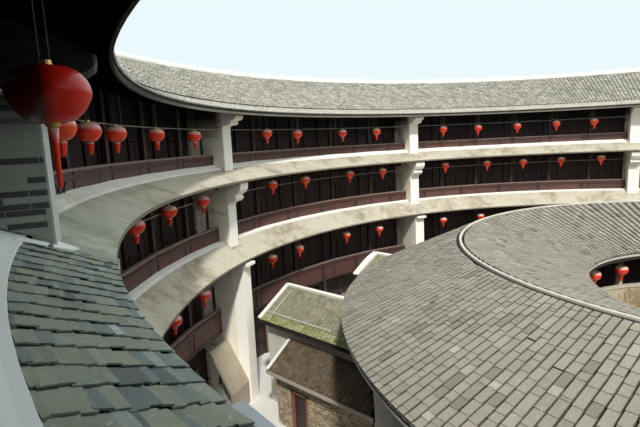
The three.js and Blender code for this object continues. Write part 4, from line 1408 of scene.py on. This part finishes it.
HALF = LANTERN_HEIGHT / 2
BELLY = [(0.07 + (LANTERN_WIDTH / 2 - 0.07) * math.cos(a) ** 0.8 * (1 - 0.25 * max(0.0, -math.sin(a))),
          HALF * math.sin(a)) for a in np.linspace(-1.45, 1.45, 15)]
TOP_RING = [(0.02, HALF - 0.01), (0.05, HALF - 0.01), (0.045, HALF + 0.045), (0.02, HALF + 0.05)]
FOOT_RING = [(0.02, -HALF - 0.03), (0.055, -HALF - 0.025), (0.06, -HALF + 0.01), (0.02, -HALF + 0.01)]
FRINGE = [(0.02, -HALF - 0.3), (0.05, -HALF - 0.3), (0.075, -HALF - 0.18), (0.105, -HALF - 0.06),
          (0.1, -HALF - 0.02), (0.02, -HALF - 0.02)]
TAIL = [(0.012, -HALF - 0.52), (0.022, -HALF - 0.5), (0.028, -HALF - 0.2), (0.045, -HALF - 0.04),
        (0.02, -HALF - 0.03)]


def lantern_angles(storey):
    """Bearings of a storey's lanterns. Sectors that aren't listed repeat one that is."""
    shown = LANTERNS[storey]
    offsets = [(sector, offset) for sector in range(SECTORS)
               for offset in shown.get(sector, shown[REPEATED_SECTOR])]
    return np.array([FIRST_FIREWALL + SECTOR * sector + math.radians(offset) for sector, offset in offsets])


def spread(build, outline, places, shades, segments, ribs=0, groove=0.0):
    """Copies of an r-z outline that is turned round a vertical axis, with grooves between its ribs."""
    angles = even_turns(segments)
    scallop = 1 - groove * np.cos(angles * ribs / 2) ** 2
    outline = np.asarray(outline, float)
    radii = outline[None, :, 0] * scallop[:, None]
    points = ring_points(angles[:, None], radii, outline[None, :, 1]).reshape(-1, 3)
    faces = swept_faces(segments, len(outline), closed=False)
    build.copies(places[:, None, :] + points[None], faces, shades)


def add_lanterns():
    bodies, near_body, gilt, tassels, wires = builds(5)

    def hang(body, angles, radius, height, hook, broad=1.0, tassel=FRINGE):
        places = ring_points(angles, radius, height)
        shades = rng.uniform(0.4, 0.75, len(places))
        spread(body, [(r * broad, z) for r, z in BELLY], places, shades, RIBS * 2, RIBS, 0.015)
        for ring in (TOP_RING, FOOT_RING):
            spread(gilt, ring, places, 0.5, 14)
        spread(tassels, tassel, places, shades * 0.6, 12, 12, 0.12)
        apart = outwards(angles) * WIRE_GAP / 2
        for side in (-1, 1):
            tops = places + apart * side
            tops[:, 2] = hook
            feet = places + apart * side + (0, 0, HALF - 0.01)
            wires.beams(feet, tops, (1, 0, 0), WIRE, WIRE, 0.3)

    for storey, height, hook in LANTERN_ROWS:
        angles = lantern_angles(storey)
        hang(bodies, angles, LANTERN_RADIUS, height + rng.normal(0, 0.03, len(angles)), hook)
    near = NEAR_LANTERN
    hang(near_body, np.radians([near["bearing"]]), near["radius"], near["height"], near["hook"],
         near["broad"], TAIL)
    court = COURT_LANTERNS
    hang(bodies, np.radians(court["bearings"]), court["radius"], court["height"], court["hook"])
    bodies.finish("lantern_bodies", "lantern_silk", "lantern_cloth", smooth=True)
    near_body.finish("near_lantern_body", "near_lantern_silk", "lantern_cloth", smooth=True)
    gilt.finish("lantern_rings", "lantern_gilt", "gilt")
    tassels.finish("lantern_tassels", "lantern_silk", "lantern_cloth", smooth=True)
    wires.finish("lantern_wires", "weathered_timber", "timber")


add_lanterns()


# Floor and light

FLOOR_HALF = 60
# Azimuth, height, strength, spread and colour of each sun
SUNS = {
    "soft_sun": (50, 46, 3.5, 4, (1.0, 0.97, 0.92)),
    "haze_round_the_sun": (50, 40, 0.6, 100, (1.0, 0.98, 0.94)),
    "fill": (190, 35, 0.5, 60, (0.95, 0.98, 1.0)),
}
SKY = (0.84, 0.95, 0.98, 1)


def add_floor():
    mesh = bpy.data.meshes.new("studio_floor")
    corners = [(x * FLOOR_HALF, y * FLOOR_HALF, 0) for x, y in BOX_SIDES]
    mesh.from_pydata(corners, [], [(0, 1, 2, 3)])
    mesh.materials.append(MATERIALS["studio_floor"])
    floor = add_object("studio_floor", mesh)


def add_sun(name, azimuth, height, energy, spread_angle, colour):
    azimuth, height = math.radians(azimuth), math.radians(height)
    data = bpy.data.lights.new(name, "SUN")
    data.energy = energy
    data.angle = math.radians(spread_angle)
    data.color = colour
    flat = math.cos(height)
    towards = Vector((math.cos(azimuth) * flat, math.sin(azimuth) * flat, math.sin(height)))
    add_object(name, data).rotation_euler = towards.to_track_quat("Z", "Y").to_euler()


def add_sky():
    world = bpy.data.worlds.new("pale_studio")
    world.use_nodes = True
    background = world.node_tree.nodes["Background"]
    background.inputs["Color"].default_value = SKY
    background.inputs["Strength"].default_value = 1.0
    bpy.context.scene.world = world
    bpy.context.scene.view_settings.view_transform = "Standard"


add_floor()
for sun_name, sun in SUNS.items():
    add_sun(sun_name, *sun)
add_sky()
